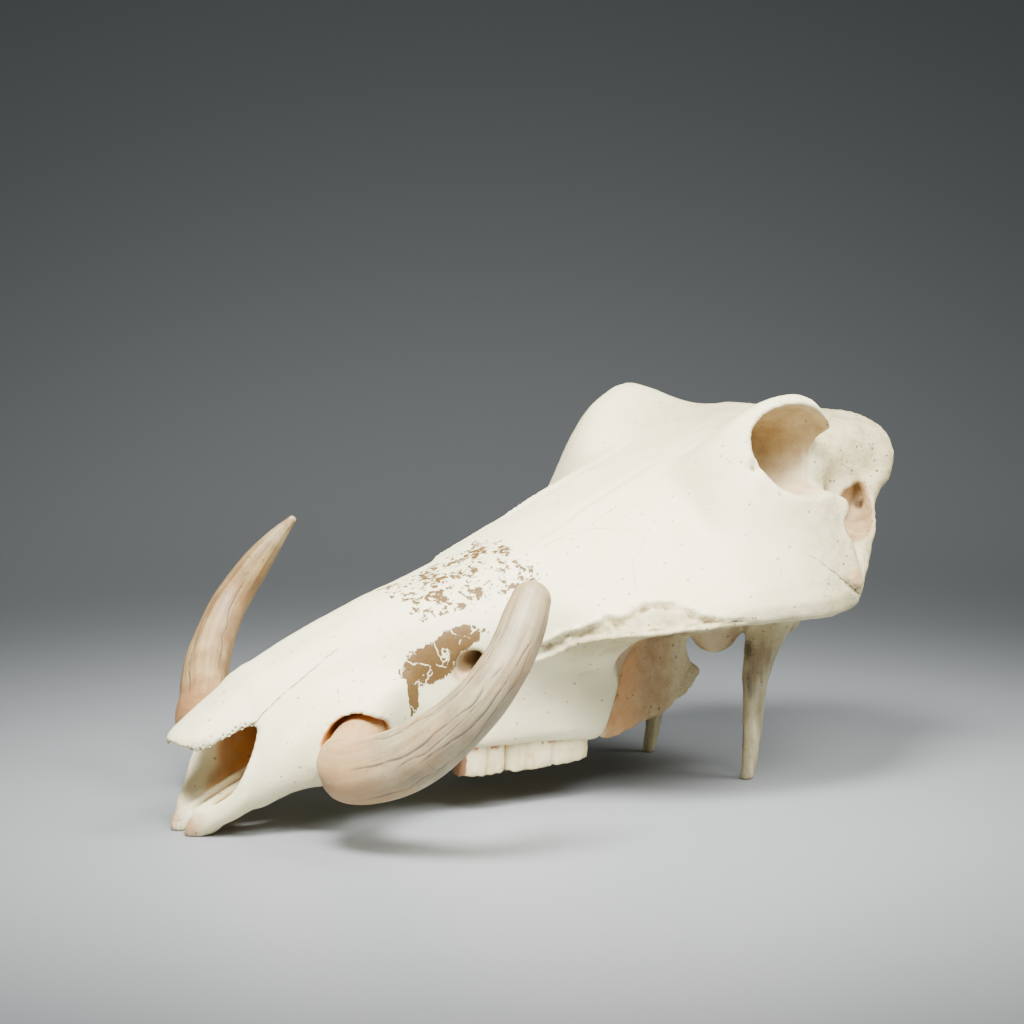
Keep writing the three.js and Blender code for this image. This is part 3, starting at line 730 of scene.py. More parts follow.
# The bone's limbs: a point out, back and up, and the section's two half widths.
FRONT_TIP = ((8.6, 9, 6.5, 6, 5.5), (7.8, 3.5, 3.8, 5.4, 4.6), (7.3, 0.5, 2, 3.8, 3.3))
ORBIT = (
    (36, 306, 170, 9, 8),
    (47, 307, 172, 15, 14),
    (60, 309, 174, 19.5, 18),
    (76, 309.5, 176.5, 27.5, 22.5),
    (102, 311, 176, 30, 24),
)
THROAT_SPIKE = (
    (34, 338, 100, 13, 11),
    (38, 327, 84, 12, 10),
    (41, 317, 66, 9, 7.5),
    (43, 312, 45, 6.5, 5.6),
    (44, 310, 22, 5, 4.6),
    (44.5, 308, 8, 3.8, 3.6),
    (44.5, 305, -3, 3.2, 3),
)
NECK_CREST = (
    (58, 376, 152, 4, 4),
    (57.5, 385, 160, 5, 5),
    (53, 390, 170.5, 6.2, 6.2),
    (45, 390.5, 179.5, 6, 6),
    (31, 387, 184.5, 5, 5),
    (0, 382, 185.5, 4, 4),
)
EAR_PASSAGE = ((92, 338, 137, 8, 8), (80, 349, 141, 12, 12), (69, 359, 146, 9, 12), (60, 367, 151, 3, 6))
TEMPLE_BULGE = (
    (47, 372, 172, 9, 13),
    (49, 354, 167, 9, 14),
    (50.5, 341, 163, 9, 13),
    (51.5, 329, 156, 7.5, 9),
)
EAR_SLIT = ((66, 360, 157, 1.4, 2), (62, 366, 151, 1.8, 2.6), (60, 368, 143, 1.2, 2))
SKULL_BASE = ((0, 282, 82, 13, 7), (0, 320, 84, 15, 8), (0, 352, 92, 17, 9))
NECK_HOLE = ((0, 380, 100, 14, 14), (0, 356, 104, 12.5, 12.5), (0, 322, 118, 11, 11))
THROAT_PASSAGE = ((0, 250, 58, 19, 14), (0, 224, 61, 18, 13), (0, 196, 74, 16, 11))
CHEEK_NERVE_HOLE = ((52, 124, 73, 5.5, 7), (42, 136, 77, 5, 6), (34, 156, 84, 4.5, 5))
EAR_BULLA = Ball((28, 297, 83.5), (11, 16, 17))
EAR_PIT = Ball((40, 306.5, 70), (4.2, 3.4, 6))
NECK_JOINT = Ball((20, 347, 85), (12, 13, 15))
NECK_NERVE_HOLE = Ball((35, 352, 94), (2.4, 3, 2.4))
TEAR_HOLE = Ball((84.5, 279, 169.5), (4.5, 2.4, 3.4))
# The long furrow that runs forward from the hole over each eye, just under the skin of the brow.
BROW_FURROW = (
    (27, 284, 177.5, 0.8, 0.8),
    (26, 276, 175, 2.4, 2),
    (21.6, 262, 169.8, 1.8, 1.6),
    (22.3, 239.4, 160, 1.7, 1.4),
    (21.9, 221, 151.7, 1.5, 1.3),
    (22.7, 202, 142.6, 1.3, 1.1),
    (23.9, 183, 134.2, 1, 0.9),
    (23.7, 153, 121.4, 0.5, 0.5),
)
BROW_RIDGE = (
    (33, 286, 174, 0.6, 0.5),
    (31, 276, 171.5, 1.2, 0.9),
    (27.5, 262, 166.2, 2.2, 1.3),
    (28.2, 240, 156.6, 2.4, 1.4),
    (28, 221, 148.1, 2.2, 1.3),
    (29, 202, 138.6, 1.8, 1),
    (30, 183, 130, 1, 0.7),
    (31, 160, 120, 0.5, 0.5),
)
NOSE_FLOOR_RIDGE = (
    (4, 5, 11, 1.4, 1.4),
    (4.8, 14, 15, 1.9, 1.9),
    (5.4, 26, 20.5, 2.1, 2.1),
    (5.8, 40, 27, 2.2, 2.2),
    (6, 58, 36.5, 2.2, 2.2),
    (6, 80, 46, 2, 2),
)
# The room behind the mouth of the nose, which is coloured and not cut.
NOSE_HOLLOW = (
    (0, 4, 16, 10, 6),
    (0, 14, 26, 18, 13),
    (0, 24, 36, 22, 18),
    (0, 40, 46, 22, 20),
    (0, 60, 52, 20, 17),
)
NOSE_WALL_RIDGE = ((19, 34, 44, 1.6, 3), (20.5, 52, 54, 2, 4.5), (21.5, 78, 66, 2.4, 6))
CHEEK_CRACK = (
    (104.5, 304, 122, 0.5, 0.4),
    (105.6, 318, 113.4, 1.2, 1.1),
    (103.6, 328, 107, 2, 1.6),
    (101.5, 337, 103, 4, 2.6),
)
BEHIND_TEETH = (
    (46, 226, 92, 1.4, 2),
    (39.5, 223, 72, 1.6, 2.4),
    (37, 219, 52, 1.4, 2.2),
    (37, 216, 40, 1, 1.5),
)
SPIKE_FLUTE = ((49, 322, 84, 1.6, 2), (50.5, 313, 62, 1.4, 1.8), (50, 309, 38, 1, 1.2))
PALATE_CANALS = (
    (12, 118, 31, 1, 1),
    (13, 128, 34, 2.6, 3),
    (14, 142, 38.5, 2, 2.4),
    (13, 176, 40.5, 1.2, 1.4),
)
FRONT_PALATE_SLOT = ((5, 22, 7, 1.6, 1.6), (6, 36, 14, 3.4, 3), (6, 50, 21.5, 2.4, 2.2))


@dataclass(frozen=True)
class Plate:
    """A thin wing of bone: an outline seen from the side, leaning in towards the back."""

    outline: Rows
    thick: float
    out: float
    lean: float
    ragged: float = 0.9

    def apply(self, grid: Grid, join: Join) -> None:
        """Joins the wing to the field; its edge is broken by small random steps.

        Args:
            grid: the points.
            join: the field and how the form meets it.
        """
        ring = smooth_curve(np.array(self.outline, float), np.arange(3) / 3, True)
        reach = join.reach + self.thick
        where = grid.part(
            np.array((self.out - 12, ring[:, 0].min() - reach, ring[:, 1].min() - reach)),
            np.array((self.out + reach, ring[:, 0].max() + reach, ring[:, 1].max() + reach)),
        )
        y, z = np.meshgrid(grid.y[where[1]], grid.z[where[2]], indexing="ij")
        spots = np.stack([np.zeros(y.size), y.ravel(), z.ravel()], 1)
        edge = ring_distance(y, z, ring) + self.ragged * roughness(spots, 3.5, 41).reshape(y.shape)
        buckle = 1.4 * np.cos((y - 236) / 16) * np.sin((z - 30) / 18)
        middle = self.out + self.lean * (y - ring[0, 0]) + buckle
        side = np.abs(grid.x[where[0]][:, None, None] - middle[None]) - self.thick / 2
        join.mix(where, soft_max(side, np.broadcast_to(edge, side.shape), 1.6).astype(np.float32))


# The wing of bone behind each tooth row, seen from the side as back and up.
PALATE_WING = Plate(
    (
        (212, 40), (224, 27), (246, 33), (264, 37), (277, 44), (287, 51),
        (291, 57), (286, 61), (281, 70), (280, 86), (250, 90), (214, 80),
    ),
    3.4, 32.0, -0.1,
)


@dataclass(frozen=True)
class Seam:
    """A fine line where two bones have grown together: points out, back and up."""

    points: Rows
    dark: float = 0.35

    def offsets(self, points: np.ndarray, normals: np.ndarray) -> tuple[np.ndarray, np.ndarray]:
        """How far to one side of the line each point lies, and how far from it.

        The offset is the part of the way from the nearest place on the line that is square to both
        the line and the surface, so it passes evenly through zero on the line.

        Args:
            points: where, as (point, coordinate).
            normals: the surface's directions there.

        Returns:
            The signed offsets and the plain distances.
        """
        run = smooth_curve(np.array(self.points, float), np.arange(8) / 8, False)
        run = np.vstack([run, self.points[-1]])
        ahead = np.gradient(run, axis=0)
        ahead /= np.linalg.norm(ahead, axis=1, keepdims=True)
        signed, away = np.full(len(points), 99.0), np.full(len(points), 99.0)
        near = ((points > run.min(0) - 12) & (points < run.max(0) + 12)).all(1)
        spots, faces = points[near], normals[near]
        apart = np.linalg.norm(spots[:, None] - run[None], axis=2)
        closest = apart.argmin(1)
        square = np.cross(ahead[closest], faces)
        signed[near] = ((spots - run[closest]) * square).sum(1)
        away[near] = apart.min(1)
        return signed, away


SEAMS = (
    Seam(((23.9, 27, 54.4), (24.5, 34.2, 61), (24.7, 43.3, 67.9), (24.6, 56.4, 76.4), (23.7, 69, 84.2)), 1.0),
    Seam(((32.7, 186.2, 130.2), (33.7, 196.4, 134.2), (35.8, 205.9, 137.4), (44.3, 217.8, 138.5),
          (53, 225.9, 137.8), (61.2, 226.9, 133), (66.9, 216.7, 123.6), (76.3, 210.7, 112.5))),
    Seam(((36, 211.3, 139.7), (35.8, 228.7, 149))),
    Seam(((103.6, 303, 124), (104.7, 318, 113.3), (102.5, 328.7, 106.7), (100, 336, 103)), 1.0),
    Seam(((0, 120, 110), (0, 160, 125), (0, 200, 141.5), (0, 240, 159))),
    Seam(((0, 70, 26), (0, 110, 36), (0, 160, 43), (0, 212, 47))),
    Seam(((3, 176, 44), (12, 178, 42), (22, 182, 38))),
)


@dataclass(frozen=True)
class Shade:
    """Makes a material's nodes, each one wired to what it is given."""

    material: bpy.types.Material

    @classmethod
    def named(cls, name: str) -> Shade:
        """A new material.

        Args:
            name: its name.

        Returns:
            What makes its nodes.
        """
        made = bpy.data.materials.new(name)
        made.use_nodes = True
        return cls(made)

    @property
    def shader(self) -> bpy.types.Node:
        """The surface shader."""
        return self.material.node_tree.nodes["Principled BSDF"]

    def node(self, kind: str, inputs: dict, **settings: object) -> bpy.types.Node:
        """A new node.

        Args:
            kind: its type.
            inputs: a number, a colour or another node's socket for each named or numbered input.
            settings: the node's own options.

        Returns:
            The node.
        """
        made = self.material.node_tree.nodes.new(kind)
        for key, value in settings.items():
            setattr(made, key, value)
        for key, value in inputs.items():
            if isinstance(value, bpy.types.NodeSocket):
                self.material.node_tree.links.new(value, made.inputs[key])
            else:
                made.inputs[key].default_value = value
        return made

    def kept(self, name: str, vector: bool = False) -> bpy.types.NodeSocket:
        """A value that the mesh keeps for each of its points."""
        made = self.node("ShaderNodeAttribute", {}, attribute_name=name)
        return made.outputs["Vector" if vector else "Fac"]

    def place(self, stretch: Spot = (1, 1, 1)) -> bpy.types.NodeSocket:
        """The place on the object, in millimetres.

        Args:
            stretch: what it is multiplied by along each axis.

        Returns:
            The place.
        """
        spot = self.node("ShaderNodeTexCoord", {}).outputs["Object"]
        sizes = tuple(s / MM for s in stretch)
        return self.node("ShaderNodeVectorMath", {0: spot, 1: sizes}, operation="MULTIPLY").outputs[0]

    def noise(
        self, where: bpy.types.NodeSocket, size: float, detail: float = 3, rough: float = 0.55
    ) -> bpy.types.NodeSocket:
        """Cloudy noise whose patches are about a size across."""
        inputs = {"Vector": where, "Scale": 1 / size, "Detail": detail, "Roughness": rough}
        return self.node("ShaderNodeTexNoise", inputs).outputs["Fac"]

    def spots(self, where: bpy.types.NodeSocket, size: float, jitter: float = 1) -> bpy.types.NodeSocket:
        """How far it is to the nearest of many scattered points, as a share of the size."""
        inputs = {"Vector": where, "Scale": 1 / size, "Randomness": jitter}
        return self.node("ShaderNodeTexVoronoi", inputs).outputs["Distance"]

    def cells(self, where: bpy.types.NodeSocket, size: float) -> bpy.types.NodeSocket:
        """How far it is to the nearest edge of a pattern of cells, as a share of their size."""
        inputs = {"Vector": where, "Scale": 1 / size}
        return self.node("ShaderNodeTexVoronoi", inputs, feature="DISTANCE_TO_EDGE").outputs["Distance"]

    def step(self, value: object, low: float, high: float) -> bpy.types.NodeSocket:
        """A smooth step from 0 at low to 1 at high."""
        inputs = {"Value": value, "From Min": low, "From Max": high}
        return self.node("ShaderNodeMapRange", inputs, interpolation_type="SMOOTHSTEP").outputs[0]

    def sum(self, operation: str, a: object, b: object = 0.0) -> bpy.types.NodeSocket:
        """One step of arithmetic."""
        return self.node("ShaderNodeMath", {0: a, 1: b}, operation=operation).outputs[0]

    def times(self, *values: object) -> bpy.types.NodeSocket:
        """The product of the values.

        Args:
            values: two or more numbers or sockets.

        Returns:
            The product.
        """
        made = values[0]
        for value in values[1:]:
            made = self.sum("MULTIPLY", made, value)
        return made

    def uneven(self, value: object, noise: object, share: float) -> bpy.types.NodeSocket:
        """A value made cloudy: itself, and a share of itself times the noise less a half."""
        return self.sum("ADD", value, self.times(self.sum("SUBTRACT", noise, 0.5), share, value))

    def mix(self, share: object, a: object, b: object) -> bpy.types.NodeSocket:
        """One colour over another.

        Args:
            share: how much of the second colour shows.
            a: the first colour.
            b: the second colour.

        Returns:
            The mixed colour.
        """
        made = self.node("ShaderNodeMix", {0: share}, data_type="RGBA")
        for socket, value in ((made.inputs[6], a), (made.inputs[7], b)):
            if isinstance(value, bpy.types.NodeSocket):
                self.material.node_tree.links.new(value, socket)
            else:
                socket.default_value = (*value, 1)
        return made.outputs[2]

    def finish(self, colour: object, rough: object, height: object, depth: float) -> bpy.types.Material:
        """Wires the colour, the roughness and the relief to the surface shader.

        Args:
            colour: the surface's colour.
            rough: its roughness.
            height: the relief, in millimetres.
            depth: how strongly the relief shows, 1 for its real depth.

        Returns:
            The material.
        """
        bump = self.node("ShaderNodeBump", {"Height": height, "Distance": MM, "Strength": depth})
        links = self.material.node_tree.links
        links.new(colour, self.shader.inputs["Base Color"])
        links.new(rough, self.shader.inputs["Roughness"])
        links.new(bump.outputs[0], self.shader.inputs["Normal"])
        return self.material


def toned(colour: Colour, by: float) -> Colour:
    """The colour made lighter or darker, all its parts by the same factor."""
    return tuple(part * by for part in colour)


@dataclass(frozen=True)
class BoneFinish:
    """Dry bone: cream and chalky, warm in its hollows, yellowed and pitted where it is old."""

    cream: Colour = (0.88, 0.81, 0.51)
    buff: Colour = (0.836, 0.7533, 0.4386)
    straw: Colour = (0.55, 0.47, 0.24)
    ochre: Colour = (0.38, 0.29, 0.12)
    rose: Colour = (0.38, 0.215, 0.092)
    amber: Colour = (0.78, 0.33, 0.075)
    umber: Colour = (0.08, 0.043, 0.010)
    painted_shade: Colour = (0.07, 0.04, 0.02)
    tan: Colour = (0.14, 0.115, 0.075)
    gloss: float = 0.4
    relief: float = 0.8

    def aged(self, s: Shade, at: bpy.types.NodeSocket, old: bpy.types.NodeSocket) -> bpy.types.NodeSocket:
        """The bone's own colour: two creams in clouds, yellowed and mottled where it is old.

        Args:
            s: makes the nodes.
            at: the place on the bone.
            old: how old the bone is there.

        Returns:
            The colour.
        """
        colour = s.mix(s.step(s.noise(at, 26), 0.3, 0.75), self.cream, self.buff)
        colour = s.mix(s.times(old, 0.75), colour, self.straw)
        mottle = s.times(old, s.step(s.noise(at, 9, 5, 0.7), 0.4, 0.7))
        colour = s.mix(s.times(mottle, 0.6), colour, self.ochre)
        streaks = s.step(s.noise(s.place((1, 1, 0.2)), 6), 0.25, 0.75)
        return s.mix(s.times(s.kept("tan"), streaks), colour, self.tan)

    def warmed(self, s: Shade, at: bpy.types.NodeSocket, colour: object) -> bpy.types.NodeSocket:
        """The colour with the rosy and the orange tints of the hollows over it, with cloudy edges.

        Args:
            s: makes the nodes.
            at: the place on the bone.
            colour: the colour so far.

        Returns:
            The colour.
        """
        rose = s.uneven(s.kept("rose"), s.noise(at, 7), 0.9)
        colour = s.mix(s.step(rose, 0, 1.15), colour, self.rose)
        amber = s.uneven(s.kept("amber"), s.noise(at, 4), 0.8)
        return s.mix(s.step(amber, 0, 1.1), colour, self.amber)

    def skin(self, s: Shade, at: bpy.types.NodeSocket) -> bpy.types.NodeSocket:
        """Where dried skin lies: flaky at its edge, and split into a few pieces by wandering lines.

        Args:
            s: makes the nodes.
            at: the place on the bone.

        Returns:
            1 on the skin and 0 beside it.
        """
        drift = s.times(s.sum("SUBTRACT", s.noise(at, 9, 3), 0.5), 0.62)
        flakes = s.sum("SUBTRACT", s.noise(at, 3.2, 6, 0.68), drift)
        lies = s.step(s.sum("SUBTRACT", s.kept("stain"), flakes), -0.02, 0.015)
        cloud = s.node("ShaderNodeTexNoise", {"Vector": at, "Scale": 0.22, "Detail": 2}).outputs["Color"]
        inputs = {0: cloud, 1: (5, 5, 5), 2: at}
        bent = s.node("ShaderNodeVectorMath", inputs, operation="MULTIPLY_ADD").outputs[0]
        lines = s.step(s.cells(bent, 13), 0.008, 0.034)
        return s.times(lies, s.sum("MAXIMUM", lines, s.step(s.noise(at, 10), 0.52, 0.56)))

    def pits(self, s: Shade, at: bpy.types.NodeSocket, old: bpy.types.NodeSocket) -> bpy.types.NodeSocket:
        """Where the bone is pitted: a few pits all over, and small dense ones where it is old.

        Args:
            s: makes the nodes.
            at: the place on the bone.
            old: how old the bone is there.

        Returns:
            1 in a pit and 0 beside it.
        """
        few = s.times(s.step(s.spots(at, 5), 0.17, 0.1), s.step(s.noise(at, 15, 3), 0.48, 0.54))
        dense = s.times(s.step(s.spots(at, 2.4), 0.26, 0.12), s.step(s.noise(at, 6, 4), 0.5, 0.62), old, 0.8)
        return s.sum("MAXIMUM", s.times(few, s.sum("ADD", 0.6, s.times(old, 0.4))), dense)

    def seams(self, s: Shade, at: bpy.types.NodeSocket) -> bpy.types.NodeSocket:
        """Where the seams show: thin lines that waver a little and fade out in places.

        Args:
            s: makes the nodes.
            at: the place on the bone.

        Returns:
            1 on a seam and 0 beside it.
        """
        bend = s.times(s.sum("SUBTRACT", s.noise(at, 2.6, 3), 0.5), 2.4)
        away = s.sum("ABSOLUTE", s.sum("ADD", s.kept("seam"), bend))
        return s.times(s.step(away, 0.34, 0.06), s.kept("seam_near"), s.step(s.noise(at, 6), 0.3, 0.46))

    def build(self) -> bpy.types.Material:
        """Makes the material from the values that the bone keeps for its points.

        Returns:
            The material.
        """
        s = Shade.named("dry_bone")
        at = s.place()
        old = s.kept("old")
        colour = self.warmed(s, at, self.aged(s, at, old))
        skin, pits, line = self.skin(s, at), self.pits(s, at, old), self.seams(s, at)
        leather = s.mix(s.noise(at, 3, 4, 0.7), self.umber, toned(self.umber, 2.1))
        # painted shade: the bone is darkened where its surface is hollow, in creases and under edges
        painted_crease_shade = s.step(s.kept("crease"), 0.4, 1.9)
        porous = s.times(s.kept("crumb"), s.step(s.noise(at, 1.2, 3, 0.7), 0.5, 0.62))
        for share, over in (
            (skin, leather),
            (s.times(pits, 0.85), toned(self.ochre, 0.3)),
            (s.times(line, 0.85), self.umber),
            # painted shade: near black in the ear's slit and in the pit beside the ear bulla
            (s.times(s.kept("dark"), 0.9), self.painted_shade),
            (s.times(painted_crease_shade, 0.75), toned(self.umber, 1.6)),
            (s.times(porous, 0.55), toned(self.umber, 2.5)),
        ):
            colour = s.mix(share, colour, over)
        grain = s.times(s.noise(at, 2.2, 4), s.sum("ADD", 0.16, s.times(old, 0.5)))
        height = s.sum("ADD", grain, s.times(pits, -0.5))
        height = s.sum("ADD", height, s.times(s.sum("ADD", s.times(line, 0.5), s.times(porous, 0.9)), -1.0))
        height = s.sum("ADD", height, s.times(skin, 0.10))
        rough = s.sum("ADD", 0.5, s.times(s.noise(at, 11), 0.16))
        s.shader.inputs["Specular IOR Level"].default_value = self.gloss
        return s.finish(colour, rough, height, self.relief)


@dataclass(frozen=True)
class IvoryFinish:
    """Worn ivory with a lengthwise grain, dark cracks and a rosy base."""

    name: str
    pale: Colour
    dark: Colour
    rosy: Colour
    tip: Colour
    specks: float
    crack: Colour = (0.075, 0.055, 0.042)
    gum: Colour = (0.30, 0.095, 0.04)
    relief: float = 0.7

    def build(self) -> bpy.types.Material:
        """Makes the material; the tusk keeps the place along and round it for each point.

        Returns:
            The material.
        """
        s = Shade.named(self.name)
        grain, at = s.kept("grain", True), s.place()
        streak, fine, cloud = s.noise(grain, 3.2, 4, 0.6), s.noise(grain, 0.8, 3, 0.6), s.noise(at, 14, 3)
        band = s.sum("ADD", s.times(streak, 0.6), s.times(cloud, 0.4))
        colour = s.mix(s.step(band, 0.34, 0.66), self.dark, self.pale)
        blotch = s.step(s.noise(at, 5, 4, 0.65), 0.5, 0.75)
        blush = s.step(s.noise(s.place((1, 1, 0.6)), 16, 3), 0.52, 0.68)
        crack = s.times(s.kept("crack"), s.step(s.noise(at, 7, 3), 0.3, 0.55))
        hairs = s.times(s.step(fine, 0.60, 0.7), s.step(s.noise(at, 12), 0.45, 0.6))
        dots = s.times(s.step(s.spots(at, 3.4), 0.2, 0.1), s.step(s.noise(at, 8), 0.42, 0.6))
        crumb = s.times(s.kept("crumb"), s.step(s.noise(at, 1.8, 4, 0.7), 0.4, 0.6))
        for share, over in (
            (s.times(blotch, 0.35), toned(self.dark, 0.6)),
            (s.times(s.kept("base"), 0.95), self.rosy),
            (s.times(s.kept("tip"), s.step(cloud, 0.2, 0.6), 0.75), self.tip),
            (s.times(blush, 0.4), self.rosy),
            (s.times(crack, 0.95), self.crack),
            (s.times(hairs, 0.4), toned(self.dark, 0.5)),
            (s.times(dots, self.specks), self.crack),
            (s.times(crumb, 0.85), self.gum),
        ):
            colour = s.mix(share, colour, over)
        height = s.sum("ADD", s.times(streak, 0.2), s.times(fine, 0.08))
        height = s.sum("SUBTRACT", height, s.sum("ADD", s.times(crack, 0.25), s.times(crumb, 0.9)))
        rough = s.sum("ADD", 0.33, s.times(streak, 0.25))
        return s.finish(colour, rough, height, self.relief)


@dataclass(frozen=True)
class EnamelFinish:
    """Cream tooth: stained gum line, dark front edge and rings of enamel on the biting face."""

    cream: Colour = (0.92, 0.80, 0.46)
    butter: Colour = (0.76, 0.58, 0.27)
    rust: Colour = (0.45, 0.15, 0.035)
    bark: Colour = (0.20, 0.10, 0.045)
    relief: float = 0.7

    def build(self) -> bpy.types.Material:
        """Makes the material from the values that the tooth keeps for its points.

        Returns:
            The material.
        """
        s = Shade.named("cheek_tooth")
        at = s.place()
        upright = s.noise(s.place((1, 1, 0.3)), 6, 4)
        colour = s.mix(s.step(upright, 0.25, 0.6), self.butter, self.cream)
        colour = s.mix(s.times(s.kept("gum"), s.step(s.noise(at, 5), 0.56, 0.62)), colour, self.rust)
        colour = s.mix(s.times(s.kept("groove"), 0.16), colour, self.rust)
        edge = s.sum("ADD", s.kept("front"), s.times(s.sum("SUBTRACT", s.noise(at, 3, 4), 0.5), 0.9))
        colour = s.mix(s.step(edge, 0.42, 0.72), colour, self.bark)
        face = s.kept("bite")
        colour = s.mix(s.times(face, s.step(s.kept("island"), 0.1, 0.5), 0.85), colour, self.bark)
        colour = s.mix(s.times(face, s.step(s.kept("island"), 0.35, 0.0), 0.4), colour, self.butter)
        height = s.sum("ADD", s.times(upright, 0.5), s.times(s.noise(at, 0.9, 3), 0.14))
        rough = s.sum("ADD", 0.3, s.times(upright, 0.22))
        return s.finish(colour, rough, height, self.relief)


def zone(grid: Grid, *forms: object) -> np.ndarray:
    """The distance from the nearest of some forms.

    Args:
        grid: the points.
        forms: the forms.

    Returns:
        The distances at the grid's points, negative inside.
    """
    values = grid.empty()
    for form in forms:
        form.apply(grid, Join(values, 6.0))
    return values


def sampled(values: np.ndarray, grid: Grid, points: np.ndarray) -> np.ndarray:
    """A field's values at points on either side of the skull.

    Each is blended from the eight of the grid's points round it, by how near they are.

    Args:
        values: the field at the grid's points.
        grid: the points of the field.
        points: where, as (point, coordinate).

    Returns:
        One value for each point.
    """
    place = np.abs(points[:, 0]), points[:, 1], points[:, 2]
    lows, shares = [], []
    for axis, at in zip((grid.x, grid.y, grid.z), place):
        share = np.clip((at - axis[0]) / (axis[1] - axis[0]), 0, len(axis) - 1.001)
        lows.append(share.astype(int))
        shares.append(share - share.astype(int))
    made = np.zeros(len(points))
    for corner in np.ndindex(2, 2, 2):
        weight = np.prod([s if c else 1 - s for c, s in zip(corner, shares)], axis=0)
        made += weight * values[tuple(low + c for low, c in zip(lows, corner))]
    return made


def neighbour_mean(edges: np.ndarray, values: np.ndarray) -> np.ndarray:
    """At each point, the mean of a value over the points that share an edge with it.

    Args:
        edges: the two points of each edge.
        values: one value for each point.

    Returns:
        The means.
    """
    a, b = edges.T
    total = np.bincount(a, values[b], len(values)) + np.bincount(b, values[a], len(values))
    return total / np.maximum(np.bincount(edges.ravel(), minlength=len(values)), 1)


def creases(piece: bpy.types.Object, points: np.ndarray, normals: np.ndarray) -> np.ndarray:
    """How hollow the surface is at each point, in millimetres.

    It is how far the mean of the neighbours lies out along the normal, spread a few times over the
    neighbours.

    Args:
        piece: the object.
        points: its points.
        normals: the surface's directions there.

    Returns:
        The heights, above zero in a crease.
    """
    edges = np.empty(len(piece.data.edges) * 2, np.int32)
    piece.data.edges.foreach_get("vertices", edges)
    edges = edges.reshape(-1, 2)
    smooth = points
    for _ in range(6):
        smooth = np.stack([neighbour_mean(edges, smooth[:, c]) for c in range(3)], 1)
    return neighbour_mean(edges, ((smooth - points) * normals).sum(1))


# How each form of the bone meets what came before it: its way, how softly, and the form.
BONE_FORMS = (
    (Way.JOINS, 1.0, Loft(HEAD, True, 4.0)),
    (Way.JOINS, 5.0, Loft(NOSE_ROOF, True)),
    (Way.JOINS, 6.0, Loft(FRONT_JAW, True)),
    (Way.JOINS, 5.0, Limb(FRONT_TIP)),
    (Way.JOINS, 9.0, Limb(NECK_CREST)),
    (Way.JOINS, 8.0, Limb(THROAT_SPIKE, 90)),
    (Way.JOINS, 5.0, EAR_BULLA),
    (Way.JOINS, 5.0, NECK_JOINT),
    (Way.JOINS, 6.0, Limb(SKULL_BASE)),
    (Way.JOINS, 3.0, Limb(BROW_RIDGE, 90)),
    (Way.CUTS, 5.0, Loft(CHEEK_HOLLOW, False)),
    (Way.CUTS, 4.0, Loft(TEMPLE_GAP, False)),
    (Way.CUTS, 2.2, Limb(ORBIT, 40)),
    (Way.CUTS, 3.0, Loft(NOSE_PASSAGE, True)),
    (Way.CUTS, 3.0, Limb(THROAT_PASSAGE)),
    (Way.CUTS, 3.0, Limb(NECK_HOLE)),
    (Way.CUTS, 2.0, Limb(CHEEK_NERVE_HOLE)),
    (Way.CUTS, 2.6, Limb(BROW_FURROW, 110)),
    (Way.CUTS, 1.2, Limb(CHEEK_CRACK)),
    (Way.CUTS, 2.0, Limb(SPIKE_FLUTE)),
    (Way.CUTS, 1.5, Limb(PALATE_CANALS)),
    (Way.CUTS, 2.0, Limb(FRONT_PALATE_SLOT)),
    (Way.CUTS, 2.5, TEAR_HOLE),
    (Way.CUTS, 2.0, NECK_NERVE_HOLE),
    (Way.CUTS, 2.5, EAR_PIT),
    (Way.JOINS, 7.0, Limb(TEMPLE_BULGE)),
    (Way.JOINS, 3.0, PALATE_WING),
    (Way.CUTS, 1.4, Limb(EAR_PASSAGE)),
    (Way.CUTS, 0.8, Limb(EAR_SLIT)),
    (Way.CUTS, 2.5, Limb(BEHIND_TEETH)),
    (Way.JOINS, 2.5, Limb(NOSE_FLOOR_RIDGE)),
    (Way.JOINS, 3.0, Limb(NOSE_WALL_RIDGE)),
)

# The upper edge of the rough scar that the jaw muscle left along the cheek bone: back and up.
SCAR_EDGE = (
    (165, 82), (173.6, 87.6), (183.2, 92.7), (194.7, 98.6), (205.4, 103.6), (214.6, 105.5),
    (222.4, 104.6), (231.3, 100.8), (241.3, 97.6), (254.6, 96.4), (264, 95),
)

# Ovals of dried skin on the snout's side: back, up, lean, and the half sizes along and up.
SKIN_OVALS = ((115, 78, 0.3, 21, 13), (103, 64, 0, 5.5, 14), (128, 88, 0.3, 16, 8))


